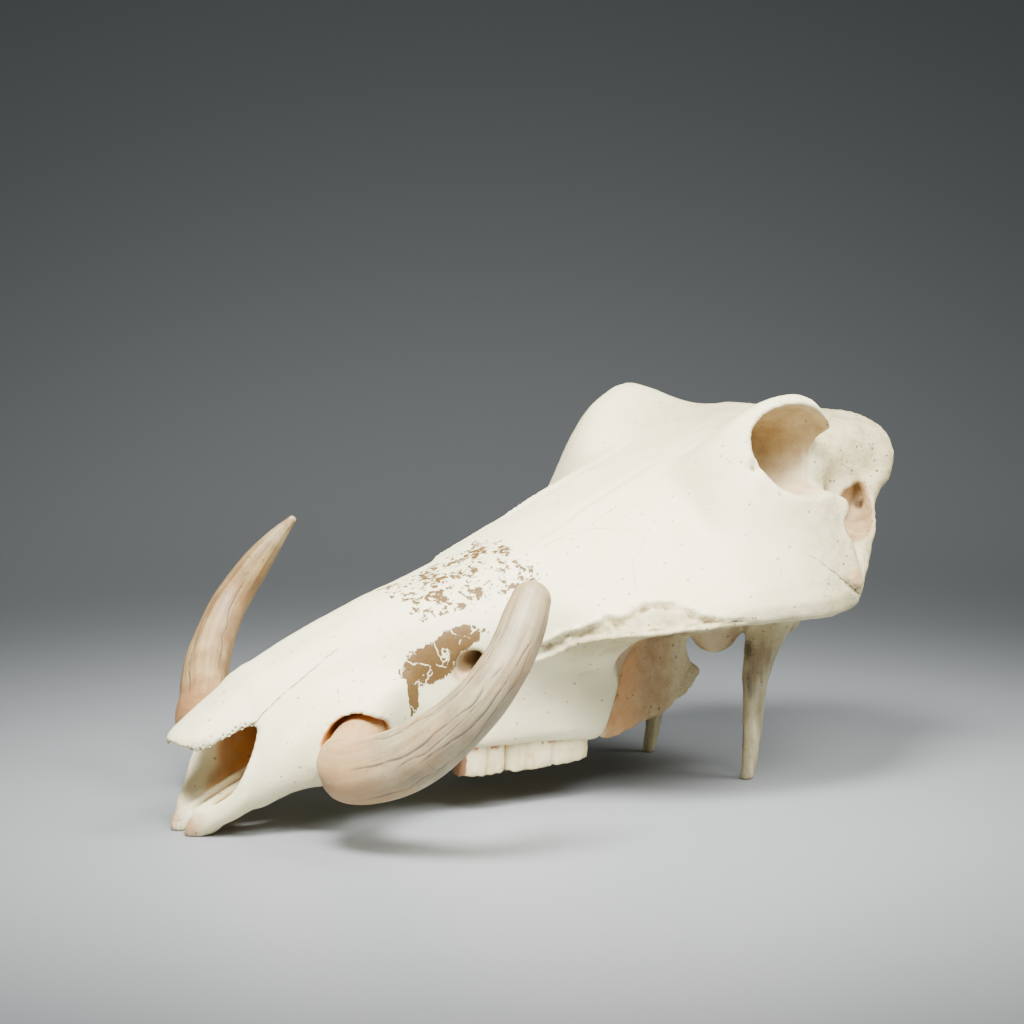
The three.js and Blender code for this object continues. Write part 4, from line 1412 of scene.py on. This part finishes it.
@dataclass
class Cranium:
    """The whole fused bone of the skull."""

    name: str = "skull_bone"
    most_triangles: int = 196000
    socket_gap: float = 1.4  # the room left round the tusk in its socket
    socket_lift: float = 0.9
    socket_back: float = 0.5
    foot: float = 0.4  # below this height the bone stays flat, where it stands

    def field(self, grid: Grid) -> np.ndarray:
        """The bone's distance field over the left half: forms joined and cut, then the floor.

        Args:
            grid: the points.

        Returns:
            The distances, negative in the bone.
        """
        values = grid.empty()
        socket = (Way.CUTS, 2.5, Limb(self.socket(), grow=self.socket_gap))
        for way, soft, form in (*BONE_FORMS, socket):
            form.apply(grid, Join(values, soft, way))
        floor = -np.broadcast_to(grid.z, values.shape)
        return soft_max(values, floor.astype(np.float32), 0.6)

    def socket(self) -> Rows:
        """The tusk's path in its socket, moved up and back as the tusk has sunk in it."""
        path = SOCKET_PATH[1:] + LEFT_TUSK[:3]
        return tuple((x, y + self.socket_back, z + self.socket_lift, a, b) for x, y, z, a, b in path)

    def relief(self, points: np.ndarray, normals: np.ndarray) -> np.ndarray:
        """How far the surface is moved out at each point.

        The whole bone undulates a little; the old bone at the back and on the muscle's scar is
        rough; the scar lies lower than the cheek over it behind a flaky edge; the eye socket's
        lower rim carries small knobs; broken edges crumble.

        Args:
            points: where.
            normals: the surface's directions there.

        Returns:
            The heights in millimetres.
        """
        x, y, z = np.abs(points[:, 0]), points[:, 1], points[:, 2]
        made = 0.3 * roughness(points, 17, 3) + 0.12 * roughness(points, 5, 4)
        made += self.old(points) * (0.4 * roughness(points, 6.5, 5) + 0.28 * roughness(points, 2.8, 6))
        edge = np.interp(y, *np.array(SCAR_EDGE).T) + 1.6 * roughness(points, 7, 7)
        scar = within(y, 160, 174, 248, 268) * fade(x, 44, 56) * fade(normals[:, 2], -0.75, -0.3)
        below = fade(edge - z, -0.3, 1.2)
        made -= scar * below * (2.5 + 1.6 * roughness(points, 6, 8) + 1.0 * roughness(points, 2.9, 9))
        flake = bell((z - edge - 0.6) / 1.3) * (1 - fade(y, 214, 246))
        made += scar * flake * (1.0 + 1.7 * roughness(points, 3.4, 10))
        rim = bell((x - 84) / 9) * fade(308 - y, 0, 8) * (1 - fade(z, 172, 184)) * fade(y, 276, 283)
        made += rim * 0.9 * roughness(points, 4.5, 11)
        made += self.crumbs(points) * (0.55 * roughness(points, 2.8, 12) - 0.15)
        return np.where(z < self.foot, 0, made)

    def old(self, points: np.ndarray) -> np.ndarray:
        """Where the bone is yellowed, rough and pitted: the back of the head, and what faces down.

        Args:
            points: where, as (point, coordinate).

        Returns:
            Values from 0 to 1.
        """
        x, y, z = np.abs(points[:, 0]), points[:, 1], points[:, 2]
        back = fade(y, 326, 350)
        cheek = 0.65 * fade(y, 282, 318) * fade(x, 60, 84) * (1 - fade(z, 150, 172))
        crown = 0.5 * fade(y, 262, 330) * fade(z, 168, 186) * (1 - fade(x, 40, 64))
        base = 0.7 * fade(y, 228, 250) * (1 - fade(z, 92, 108))
        roof = 0.45 * (1 - fade(x, 22, 34)) * fade(y, 60, 90) * (1 - fade(z, 42, 60))
        edge = np.interp(y, *np.array(SCAR_EDGE).T)
        scar = fade(edge - z, -1, 2) * fade(y, 166, 184) * (1 - fade(y, 244, 262)) * fade(x, 50, 66)
        return np.clip(np.max([back, cheek, crown, base, roof, scar], axis=0), 0, 1)

    def crumbs(self, points: np.ndarray) -> np.ndarray:
        """Where the bone's edge is broken and porous: under the nose, at the tips and on thin edges.

        Args:
            points: where, as (point, coordinate).

        Returns:
            Values from 0 to 1.
        """
        x, y, z = np.abs(points[:, 0]), points[:, 1], points[:, 2]
        beak = fade(7 - y, 0, 5) * fade(z, 36, 38) * (1 - fade(z - 0.6 * y - 47, -3.5, -1)) * fade(x, 2, 6)
        tips = 0.8 * round_spot(points, (5, -2, 4), (5, 4, 4))
        wing = fade(y, 272, 282) * (1 - fade(z, 58, 66)) * (1 - fade(x, 34, 36))
        cheek = fade(y, 322, 332) * fade(x, 94, 100) * (1 - fade(z, 104, 110))
        ear = round_spot(points, (40, 308, 70), (6, 5, 7))
        return np.clip(beak + tips + 0.6 * wing + 0.7 * cheek + ear, 0, 1)

    def stain(self, points: np.ndarray) -> np.ndarray:
        """Where dried skin still clings to the left side of the snout and, in flecks, to its top.

        The patch is the greatest of three leaning ovals, seen from the side.

        Args:
            points: where, as (point, coordinate).

        Returns:
            Values from 0 to 1.
        """
        x, y, z = points[:, 0], points[:, 1], points[:, 2]
        ovals = []
        for back, up, lean, long, tall in SKIN_OVALS:
            away = np.hypot((y - back) / long, (z - up - lean * (y - back)) / tall)
            ovals.append(1 - fade(away, 0.35, 1.3))
        patch = np.max(ovals, axis=0) * fade(x, 24, 32)
        top = fade(z - (88 + 0.3 * (y - 100)), -2, 6)
        flecks = within(y, 96, 116, 168, 190) * top * (1 - fade(-x, 8, 24))
        return 0.85 * patch + 0.47 * flecks * (1 - patch)

    def mark_hollows(self, bone: bpy.types.Object, points: np.ndarray, grid: Grid) -> None:
        """Keeps how rosy and how orange the bone is in and round its hollows, and the painted shade in the
        ear's slit and the pit beside the ear bulla.

        Each is 1 in a hollow and fades with the distance from it; the greatest is kept.

        Args:
            bone: the finished mesh.
            points: its points.
            grid: the points of the field, for the distances from the hollows.
        """
        x, y, z = np.abs(points[:, 0]), points[:, 1], points[:, 2]

        def near(low: float, high: float, *forms: object) -> np.ndarray:
            """1 nearer to the forms than low, 0 past high."""
            return 1 - fade(sampled(zone(grid, *forms), grid, points), low, high)

        nose = np.maximum(near(0.3, 3.0, Loft(NOSE_PASSAGE, True)), near(1.0, 6.0, Limb(NOSE_HOLLOW)))
        nose = nose * fade(y, 3, 20) * (0.6 + 0.4 * fade(y, 24, 50))
        wing = fade(y, 216, 226) * (1 - fade(z, 84, 92)) * (1 - fade(x, 35, 38))
        wing = wing * (1 - 0.6 * fade(y, 262, 276))
        rosy = (
            0.66 * (near(0.3, 3.4, Limb(ORBIT, 40)) * (1 - 0.8 * fade(x, 72, 90))),
            0.75 * near(0.5, 4.0, Loft(CHEEK_HOLLOW, False)),
            0.75 * near(0.3, 2.5, Limb(EAR_PASSAGE)),
            0.8 * near(0.3, 3.0, Limb(THROAT_PASSAGE), Limb(NECK_HOLE), Limb(CHEEK_NERVE_HOLE)),
            0.8 * wing,
            0.85 * near(-1, 2.5, EAR_BULLA),
            0.7 * nose,
            round_spot(points, (10, -1, 5), (7, 7, 7)),
        )
        orange = (
            0.85 * nose * (1 - near(0.4, 1.6, Limb(NOSE_FLOOR_RIDGE)) * 0.8),
            near(1.5, 2.6, Limb(self.socket())),
            0.6 * round_spot(points, (100, 333, 112), (10, 8, 6)),
            0.5 * wing * (1 - fade(y, 236, 256)),
        )
        keep_values(bone, "rose", np.max(rosy, 0))
        keep_values(bone, "amber", np.max(orange, 0))
        # dark: painted shade in the ear's slit and in the pit beside the ear bulla
        keep_values(bone, "dark", np.maximum(near(0.1, 1.3, Limb(EAR_SLIT)), 0.8 * near(0.2, 1.6, EAR_PIT)))

    def mark_seams(self, bone: bpy.types.Object, points: np.ndarray, normals: np.ndarray) -> None:
        """Keeps how far to the side of the nearest seam each point lies, and how near and dark it is.

        Args:
            bone: the finished mesh.
            points: its points.
            normals: its directions there.
        """
        mirrored = np.column_stack([np.abs(points[:, 0]), points[:, 1:]])
        turned = normals * np.sign(points[:, :1] + 1e-9) ** [1, 0, 0]
        found = np.array([seam.offsets(mirrored, turned) for seam in SEAMS])
        nearest = found[:, 1].argmin(0)
        signed, away = np.take_along_axis(found, nearest[None, None], 0)[0]
        dark = np.array([seam.dark for seam in SEAMS])[nearest]
        keep_values(bone, "seam", np.clip(signed, -9, 9))
        keep_values(bone, "seam_near", (1 - fade(away, 2.5, 5.5)) * dark)

    def mark(self, bone: bpy.types.Object, grid: Grid) -> None:
        """Keeps the values that the bone's material reads.

        Args:
            bone: the finished mesh.
            grid: the points of the field.
        """
        points, normals = points_of(bone), normals_of(bone)
        y, z = points[:, 1], points[:, 2]
        self.mark_hollows(bone, points, grid)
        self.mark_seams(bone, points, normals)
        keep_values(bone, "tan", fade(y, 296, 304) * (1 - fade(z, 62, 84)) * 0.9)
        keep_values(bone, "old", self.old(points))
        keep_values(bone, "crumb", self.crumbs(points))
        keep_values(bone, "stain", self.stain(points))
        # crease: how hollow the surface is, which the material turns into painted shade
        keep_values(bone, "crease", creases(bone, points, normals) / 0.45)

    def build(self) -> bpy.types.Object:
        """Makes the bone's mesh, roughens it and marks where its colours lie.

        Returns:
            The bone.
        """
        grid = Grid(*(spaced(low, high, CELL) for low, high in GRID_REACH))
        half = self.field(grid)
        whole = Grid(np.concatenate([-grid.x[:0:-1], grid.x]), grid.y, grid.z)
        points, faces = surface_of(np.concatenate([half[:0:-1], half]), whole)
        bone = make_mesh(self.name, points, faces)
        normals = normals_of(bone)
        place_points(bone, points + normals * self.relief(points, normals)[:, None])
        thin(bone, self.most_triangles)
        LOG.info("bone surface: %d faces from the field, %d kept", len(faces), len(bone.data.polygons))
        self.mark(bone, grid)
        bone.data.materials.append(BoneFinish().build())
        return bone


def thin(piece: bpy.types.Object, most: int) -> None:
    """Merges a mesh's least needed edges until it has no more than so many triangles.

    Args:
        piece: the object.
        most: how many triangles it may have.
    """
    triangles = sum(len(p.vertices) - 2 for p in piece.data.polygons)
    if triangles <= most:
        return
    change = piece.modifiers.new("thin", "DECIMATE")
    change.ratio = most / triangles
    made = bpy.data.meshes.new_from_object(piece.evaluated_get(bpy.context.evaluated_depsgraph_get()))
    piece.modifiers.clear()
    piece.data = made
    made.polygons.foreach_set("use_smooth", np.ones(len(made.polygons), bool))
    made.update()


def swept_faces(rings: int, sides: int) -> tuple[np.ndarray, np.ndarray]:
    """The faces of a tube of rings, closed at both ends on the last two points.

    Args:
        rings: how many rings.
        sides: how many points each has.

    Returns:
        The four-sided faces and the three-sided ones at the ends.
    """
    i, k = np.meshgrid(np.arange(rings - 1), np.arange(sides), indexing="ij")
    a, b = i * sides + k, i * sides + (k + 1) % sides
    quads = np.stack([a, b, b + sides, a + sides], -1).reshape(-1, 4)
    k = np.arange(sides)
    start, end = rings * sides, rings * sides + 1
    last = (rings - 1) * sides
    first_cap = np.stack([(k + 1) % sides, k, np.full(sides, start)], 1)
    last_cap = np.stack([last + k, last + (k + 1) % sides, np.full(sides, end)], 1)
    return quads, np.concatenate([first_cap, last_cap])


@dataclass(frozen=True)
class Crack:
    """A dark split along a tusk: from and to in millimetres past the socket, and its angle round."""

    start: float
    end: float
    angle: float
    drift: float
    width: float = 0.75


@dataclass
class Tusk:
    """An upper tusk, from its hidden root in the socket out to its tip."""

    name: str
    rows: Rows
    side: Side
    finish: IvoryFinish
    cracks: tuple[Crack, ...]
    seed: int
    rings: int = 250
    sides: int = 168
    cap_rings: int = 25  # how many of the rings close the tip
    rim: float = 66.0  # how far out the socket's rim lies
    round_at: float = 15.0  # the half width that the lengthwise grain is worked out at
    grain_stretch: float = 16.0  # how much longer the grain is than wide

    def frame(self) -> tuple[np.ndarray, ...]:
        """Evenly spaced places along the tusk with their two half widths and three directions.

        The directions are carried along without twisting: each is the last one less its part along
        the new direction of the path.

        Returns:
            The centres, the half widths, the distances along, and the across and over directions.
        """
        rows = np.array(SOCKET_PATH + self.rows, float)
        run = smooth_curve(rows, np.arange(24) / 24, False)
        run = np.vstack([run, rows[-1]])
        cap = run[-1, 3:].min()
        ahead = run[-1, :3] - run[-4, :3]
        tip = run[-1].copy()
        tip[:3] += ahead / np.linalg.norm(ahead) * cap
        run = np.vstack([run, tip])
        far = np.append(0, np.cumsum(np.linalg.norm(np.diff(run[:, :3], axis=0), axis=1)))
        body = far[-1] - cap
        turn = np.linspace(0, math.pi / 2, self.cap_rings + 1)[1:]
        even = np.linspace(0, body, self.rings - self.cap_rings)
        at = np.concatenate([even, body + cap * np.sin(turn) * 0.999])
        placed = np.stack([np.interp(at, far, run[:, c]) for c in range(5)], 1)
        shrink = np.sqrt(np.clip(1 - (np.maximum(at - body, 0) / cap) ** 2, 0, 1))
        along = np.gradient(placed[:, :3], axis=0)
        along /= np.linalg.norm(along, axis=1, keepdims=True)
        across = np.empty_like(along)
        held = np.array([0.0, 0.0, 1.0])
        for i, way in enumerate(along):
            held = held - way * (held @ way)
            held /= np.linalg.norm(held)
            across[i] = held
        over = np.cross(along, across)
        return placed[:, :3], placed[:, 3:] * shrink[:, None], at, across, over

    def crack_depth(self, s: np.ndarray, a: np.ndarray, widths: np.ndarray) -> np.ndarray:
        """How deep in a crack each point lies.

        Each crack is a narrow bell at its own angle, which drifts along the tusk and wavers.

        Args:
            s: how far past the socket's rim each point is.
            a: its angle round the tusk.
            widths: the section's two half widths at each ring.

        Returns:
            Values from 0 beside the cracks to 1 in their middle.
        """
        made = np.zeros(s.shape)
        run = np.stack([s.ravel(), s.ravel() * 0, s.ravel() * 0], 1)
        for c in self.cracks:
            waver = roughness(run, 9, int(c.start) + 50).reshape(s.shape)
            where = c.angle + c.drift * (s - c.start) / max(c.end - c.start, 1) + 0.09 * waver
            apart = np.abs((a - where + math.pi) % (2 * math.pi) - math.pi) * widths.mean(1)[:, None]
            length = within(s, c.start, c.start + 9, c.end - 9, c.end)
            made = np.maximum(made, length * bell(apart / c.width))
        return made

    def build(self) -> bpy.types.Object:
        """Sweeps the tusk's section along its path, with its cracks and its ridged base.

        The section is an oval, slightly three-sided, with shallow lengthwise waves.

        Returns:
            The tusk.
        """
        centre, widths, at, across, over = self.frame()
        past = at - at[np.argmin(np.abs(centre[:, 0] - self.rim))]
        turn = np.linspace(0, 2 * math.pi, self.sides, endpoint=False)
        s, a = np.meshgrid(past, turn, indexing="ij")
        grain = [np.cos(a) * self.round_at, np.sin(a) * self.round_at, s / self.grain_stretch]
        grain = np.stack(grain, -1).reshape(-1, 3)
        wave = roughness(grain, 5.5, self.seed).reshape(s.shape)
        fine = roughness(grain, 2.2, self.seed + 1).reshape(s.shape)
        total = s.max()
        free = fade(s, -4, 14) * (1 - fade(s, total - 12, total))
        swell = 1 + 0.022 * np.cos(3 * a + 0.8) * free
        out = (0.22 * wave + 0.08 * fine) * fade(s, -2, 10) * (1 - 0.8 * fade(s, total - 8, total))
        lobes = 5 + 2.6 * np.cos(2 * a + 0.9) + 1.2 * np.cos(5 * a)
        out -= 1.1 * (1 - fade(s, lobes - 7.5, lobes - 5.5))
        out += 0.4 * bell((s - lobes + 3) / 2.2)
        crack = self.crack_depth(s, a, widths)
        crumb = bell((s - 4) / 6) * fade(np.cos(a - 2.2), 0.6, 0.95)
        out -= 0.12 * crack + crumb * (0.5 + 1.2 * fine)
        radius = widths[:, None, :] * swell[..., None] + (out * np.minimum(widths[:, :1] / 4, 1))[..., None]
        points = centre[:, None] + radius[..., :1] * np.cos(a)[..., None] * across[:, None]
        points = (points + radius[..., 1:] * np.sin(a)[..., None] * over[:, None]).reshape(-1, 3)
        points = np.vstack([points, centre[:1], points[-self.sides :].mean(0, keepdims=True)])
        points = points * [self.side.value, 1, 1]
        quads, ends = swept_faces(self.rings, self.sides)
        if self.side is Side.RIGHT:
            quads, ends = quads[:, ::-1], ends[:, ::-1]
        tusk = make_mesh(self.name, points, quads, ends)
        for name, values in (
            ("crack", crack),
            ("base", (1 - fade(s, 12, 52)) * (0.75 + 0.25 * wave)),
            ("tip", fade(s, total - 34, total - 4)),
            ("crumb", crumb),
        ):
            poles = values[0].mean(), values[-1].mean()
            keep_values(tusk, name, np.append(values.ravel(), poles))
        grain = np.vstack([grain, grain[:1] * [0, 0, 1], grain[-1:] * [0, 0, 1]])
        kept = tusk.data.attributes.new("grain", "FLOAT_VECTOR", "POINT")
        kept.data.foreach_set("vector", grain.astype(np.float32).ravel())
        tusk.data.materials.append(self.finish.build())
        return tusk


@dataclass
class Molar:
    """A cheek tooth: a row of lobes on one straight root, with a worn biting face."""

    name: str
    start: float
    end: float
    bite: float
    root: float
    side: Side
    grooves: tuple[float, ...]
    front: float = 0.0  # how dark its front edge is
    rise: float = 2.2  # how much higher the biting face lies at the back
    inner: float = 24.5
    outer: float = 38.5
    groove: float = 1.5  # half the width of a groove
    ring_wide: float = 3.3  # how far apart the rings of enamel lie across the tooth
    ring_long: float = 5.2  # and along it
    gum: float = 32.4  # how high the stained gum line lies
    sides: int = 220
    heights: int = 34
    face_rings: int = 22

    def outline(self) -> np.ndarray:
        """The crown's outline from above: an oblong whose fourth powers add up to one, evenly spaced.

        Returns:
            An array of (point, [out, back]).
        """
        half = np.array([(self.outer - self.inner) / 2, (self.end - self.start) / 2 + 0.3])
        turn = np.linspace(0, 2 * math.pi, 2000, endpoint=False)
        way = np.stack([np.cos(turn), np.sin(turn)], 1)
        ring = way / ((np.abs(way / half) ** 4).sum(1) ** 0.25)[:, None]
        far = np.append(0, np.cumsum(np.linalg.norm(np.diff(ring, axis=0, append=ring[:1]), axis=1)))
        even = np.linspace(0, far[-1], self.sides, endpoint=False)
        closed = np.vstack([ring, ring[:1]])
        return np.stack([np.interp(even, far, closed[:, c]) for c in (0, 1)], 1)

    def enamel_rings(self, spots: np.ndarray, middle: float) -> np.ndarray:
        """Where the rings of enamel stand on the biting face.

        Rings lie on a lattice. Each is where the distance from the lattice's nearest point is close
        to one value, made uneven.

        Args:
            spots: where, as (point, [out, back, up]).
            middle: how far out the tooth's middle line lies.

        Returns:
            Values from 0 beside the rings to 1 on them.
        """
        out = (spots[:, 0] - middle) / self.ring_wide
        back = (spots[:, 1] - self.start) / self.ring_long
        apart = np.abs(np.hypot(out - np.round(out), (back - np.round(back)) * 1.25) - 0.31) / 0.12
        return 1 - fade(apart + 0.5 * roughness(spots, 2, 24), 0.4, 1.3)

    def build(self) -> bpy.types.Object:
        """Stacks the outline from the root to the bite, then closes the biting face inwards.

        The outline is pinched in at each groove. The face undulates and carries rings of enamel.

        Returns:
            The tooth.
        """
        ring = self.outline()
        middle = np.array([(self.inner + self.outer) / 2, (self.start + self.end) / 2])
        half = (self.outer - self.inner) / 2
        pinch = np.zeros(len(ring))
        for i, place in enumerate(self.grooves):
            deep = 0.7 + 0.3 * (i % 2)
            pinch += deep * bell((ring[:, 1] + middle[1] - place) / self.groove)
        height = np.linspace(self.root, self.bite, self.heights)
        up, k = np.meshgrid(height, np.arange(len(ring)), indexing="ij")
        level = (self.root - up) / (self.root - self.bite)
        grow = 0.96 + 0.05 * np.sin(np.clip(level, 0, 1) * math.pi) - 0.06 * fade(level, 0.9, 1.0)
        x = ring[k, 0] * grow - np.sign(ring[k, 0]) * pinch[k] * np.abs(ring[k, 0] / half) ** 3
        y = ring[k, 1] * (1 - 0.02 * fade(level, 0.85, 1))
        walls = np.stack([x, y, up], -1)
        shrink = np.linspace(1, 0, self.face_rings + 1)[1:-1]
        face = walls[-1][None] * [1, 1, 0] * shrink[:, None, None] + [0, 0, self.bite]
        spots = np.concatenate([walls, face]).reshape(-1, 3)
        spots = np.vstack([spots, [0, 0, self.root], [0, 0, self.bite]])
        spots[:, :2] += middle
        spots[:, :2] += 0.18 * np.stack([roughness(spots, 3, 20), roughness(spots, 3, 21)], 1)
        island = self.enamel_rings(spots, middle[0])
        low = fade(self.root - spots[:, 2], 0.55 * (self.root - self.bite), self.root - self.bite)
        rise = self.rise * (spots[:, 1] - self.start) / (self.end - self.start)
        edge = fade(np.abs(spots[:, 0] - middle[0]) / half, 0.55, 1)
        bumps = 0.5 * roughness(spots * [1, 1, 0], 2.8, 22) + 0.8 * (1 - edge)
        spots[:, 2] += low * (rise + bumps * fade(low, 0.5, 1) - 0.35 * island * fade(low, 0.9, 1))
        rings = self.heights + self.face_rings - 1
        quads, ends = swept_faces(rings, self.sides)
        bite = np.repeat(np.arange(rings) >= self.heights - 1, self.sides)
        bite = np.append(bite, [False, True]).astype(float)
        if self.side is Side.LEFT:
            quads, ends = quads[:, ::-1], ends[:, ::-1]
        tooth = make_mesh(self.name, spots * [self.side.value, 1, 1], quads, ends)
        keep_values(tooth, "bite", bite)
        keep_values(tooth, "island", island)
        gum = self.gum + 1.2 * roughness(spots, 6, 23)
        keep_values(tooth, "gum", 1 - fade(gum - spots[:, 2], 0, 2))
        groove = np.append(np.tile(np.clip(pinch, 0, 1), rings), [0, 0])
        keep_values(tooth, "groove", groove * (1 - bite))
        keep_values(tooth, "front", self.front * (1 - fade(spots[:, 1], self.start, self.start + 5)))
        tooth.data.materials.append(EnamelFinish().build())
        return tooth


@dataclass
class Studio:
    """The pale floor that curves up behind the skull, the soft lights and the camera."""

    camera_at: Spot = (1100.68, -518.39, 274.63)
    camera_turn: float = 57.33
    camera_dip: float = 5.68
    lens: float = 90.0
    paper: Colour = (0.24, 0.252, 0.256)
    air: Colour = (0.36, 0.385, 0.40)
    air_strength: float = 0.45
    floor_side: float = 5.0  # in metres, as all of the floor's sizes are
    floor_front: float = -3.0
    floor_back: float = 1.0
    bend: float = 2.6
    wall: float = 4.0

    def camera(self) -> None:
        """Puts the camera where the photograph was taken from."""
        data = bpy.data.cameras.new("camera")
        data.lens = self.lens
        data.sensor_width = 36
        made = bpy.data.objects.new("camera", data)
        made.location = (np.array(self.camera_at) - [0, SNOUT_TO_ORIGIN, 0]) * MM
        made.rotation_euler = (math.radians(90 - self.camera_dip), 0, math.radians(self.camera_turn))
        bpy.context.scene.collection.objects.link(made)
        bpy.context.scene.camera = made

    def floor(self) -> None:
        """A wide pale floor, curved up into a wall behind the skull as the camera sees it.

        Seen from the side the sheet is level, then a quarter round, then upright.
        """
        turn = np.linspace(0, math.pi / 2, 33)
        behind = self.floor_back + self.bend * np.sin(turn)
        away = np.concatenate([[self.floor_front], behind, [self.floor_back + self.bend]])
        up = np.concatenate([[0], self.bend * (1 - np.cos(turn)), [self.wall]])
        side = np.array([-self.floor_side, self.floor_side])
        turned = math.radians(self.camera_turn)
        a, s = np.meshgrid(away, side, indexing="ij")
        x = -a * math.sin(turned) + s * math.cos(turned)
        y = a * math.cos(turned) + s * math.sin(turned)
        points = np.stack([x, y, np.repeat(up[:, None], 2, 1)], -1).reshape(-1, 3)
        points = points / MM + [0, SNOUT_TO_ORIGIN, 0]
        i = np.arange(len(away) - 1) * 2
        floor = make_mesh("floor", points, np.stack([i, i + 1, i + 3, i + 2], 1)[:, ::-1])
        s = Shade.named("floor_paper")
        s.shader.inputs["Base Color"].default_value = (*self.paper, 1)
        s.shader.inputs["Roughness"].default_value = 0.55
        floor.data.materials.append(s.material)

    def light(self, name: str, at: Spot, to: Spot, size: float, power: float, spread: float) -> None:
        """A soft square light.

        Args:
            name: the light's name.
            at: where it hangs, in metres.
            to: what it points at.
            size: the length of its side.
            power: in watts.
            spread: how widely it shines, in degrees.
        """
        data = bpy.data.lights.new(name, "AREA")
        data.shape = "SQUARE"
        data.size = size
        data.energy = power
        data.spread = math.radians(spread)
        made = bpy.data.objects.new(name, data)
        made.location = at
        away = np.subtract(at, to)
        away /= np.linalg.norm(away)
        made.rotation_euler = (math.acos(away[2]), 0, math.atan2(away[1], away[0]) + math.pi / 2)
        bpy.context.scene.collection.objects.link(made)

    def build(self) -> None:
        """Makes everything round the skull."""
        self.camera()
        self.floor()
        self.light("key", (0.32, -0.42, 0.92), (0.05, -0.04, 0.04), 0.4, 4.5, 54)
        self.light("side", (0.45, 0.48, 0.8), (0.06, 0.06, 0.05), 0.5, 1.5, 54)
        self.light("front", (0.85, -0.2, 1.0), (0, 0, 0.08), 0.5, 1.9, 46)
        self.light("behind", (-0.75, 0.5, 1.4), (-1.35, 0.75, 0.1), 0.6, 5.5, 120)
        world = bpy.data.worlds.new("studio_air")
        world.use_nodes = True
        inputs = world.node_tree.nodes["Background"].inputs
        inputs["Color"].default_value = (*self.air, 1)
        inputs["Strength"].default_value = self.air_strength
        bpy.context.scene.world = world


def dress(piece: bpy.types.Object, node: str) -> None:
    """Puts a finished piece in the place of a CAD node.

    Args:
        piece: the piece.
        node: the CAD node that it takes the place of.
    """
    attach(piece, "root")
    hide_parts(node)
    LOG.info("%s: %d faces", piece.name, len(piece.data.polygons))


LEFT_IVORY = IvoryFinish(
    "left_ivory",
    pale=(0.44, 0.355, 0.20),
    dark=(0.24, 0.18, 0.098),
    rosy=(0.50, 0.27, 0.095),
    tip=(0.33, 0.245, 0.11),
    specks=0.4,
)
RIGHT_IVORY = IvoryFinish(
    "right_ivory",
    pale=(0.42, 0.29, 0.125),
    dark=(0.21, 0.12, 0.048),
    rosy=(0.36, 0.18, 0.07),
    tip=(0.50, 0.42, 0.24),
    specks=0.95,
)
LEFT_CRACKS = (
    Crack(30, 124, 0.35, 0.5, 0.42),
    Crack(64, 128, 0.8, -0.2, 0.3),
    Crack(20, 112, 1.25, 0.35, 0.5),
    Crack(44, 96, 1.6, 0.15, 0.3),
    Crack(56, 128, 1.9, 0.3, 0.42),
    Crack(14, 70, 2.3, 0.2, 0.38),
    Crack(74, 126, 2.6, -0.25, 0.3),
    Crack(34, 118, 3.1, 0.4, 0.45),
    Crack(24, 84, 4.1, 0.3, 0.4),
    Crack(60, 126, 5.0, -0.2, 0.4),
    Crack(36, 100, 5.7, 0.3, 0.35),
)
RIGHT_CRACKS = (
    Crack(20, 110, 0.4, 0.3, 0.45),
    Crack(34, 120, 1.5, 0.3, 0.45),
    Crack(26, 96, 2.6, 0.3, 0.45),
    Crack(40, 124, 3.5, 0.3, 0.45),
    Crack(22, 80, 4.4, 0.3, 0.45),
    Crack(50, 126, 5.4, 0.3, 0.45),
)


def main() -> None:
    """Builds the studio and the skull's pieces in order."""
    logging.basicConfig(level=logging.INFO, format="%(name)s: %(message)s")
    Studio().build()
    dress(Cranium().build(), "cranium")
    left_tusk = Tusk("left_tusk", LEFT_TUSK, Side.LEFT, LEFT_IVORY, LEFT_CRACKS, 60)
    dress(left_tusk.build(), "tusk_left")
    right_tusk = Tusk("right_tusk", RIGHT_TUSK, Side.RIGHT, RIGHT_IVORY, RIGHT_CRACKS, 70)
    dress(right_tusk.build(), "tusk_right")
    for side in Side:
        word = side.name.lower()
        second = Molar(f"{word}_second_molar", 134.5, 160.2, 18.2, 44, side, (149,), 1.0, 0.4)
        third = Molar(f"{word}_third_molar", 161.2, 211, 17.8, 46, side, (172.3, 188.1))
        dress(second.build(), f"second_molar_{word}")
        dress(third.build(), f"third_molar_{word}")


if __name__ == "__main__":
    main()
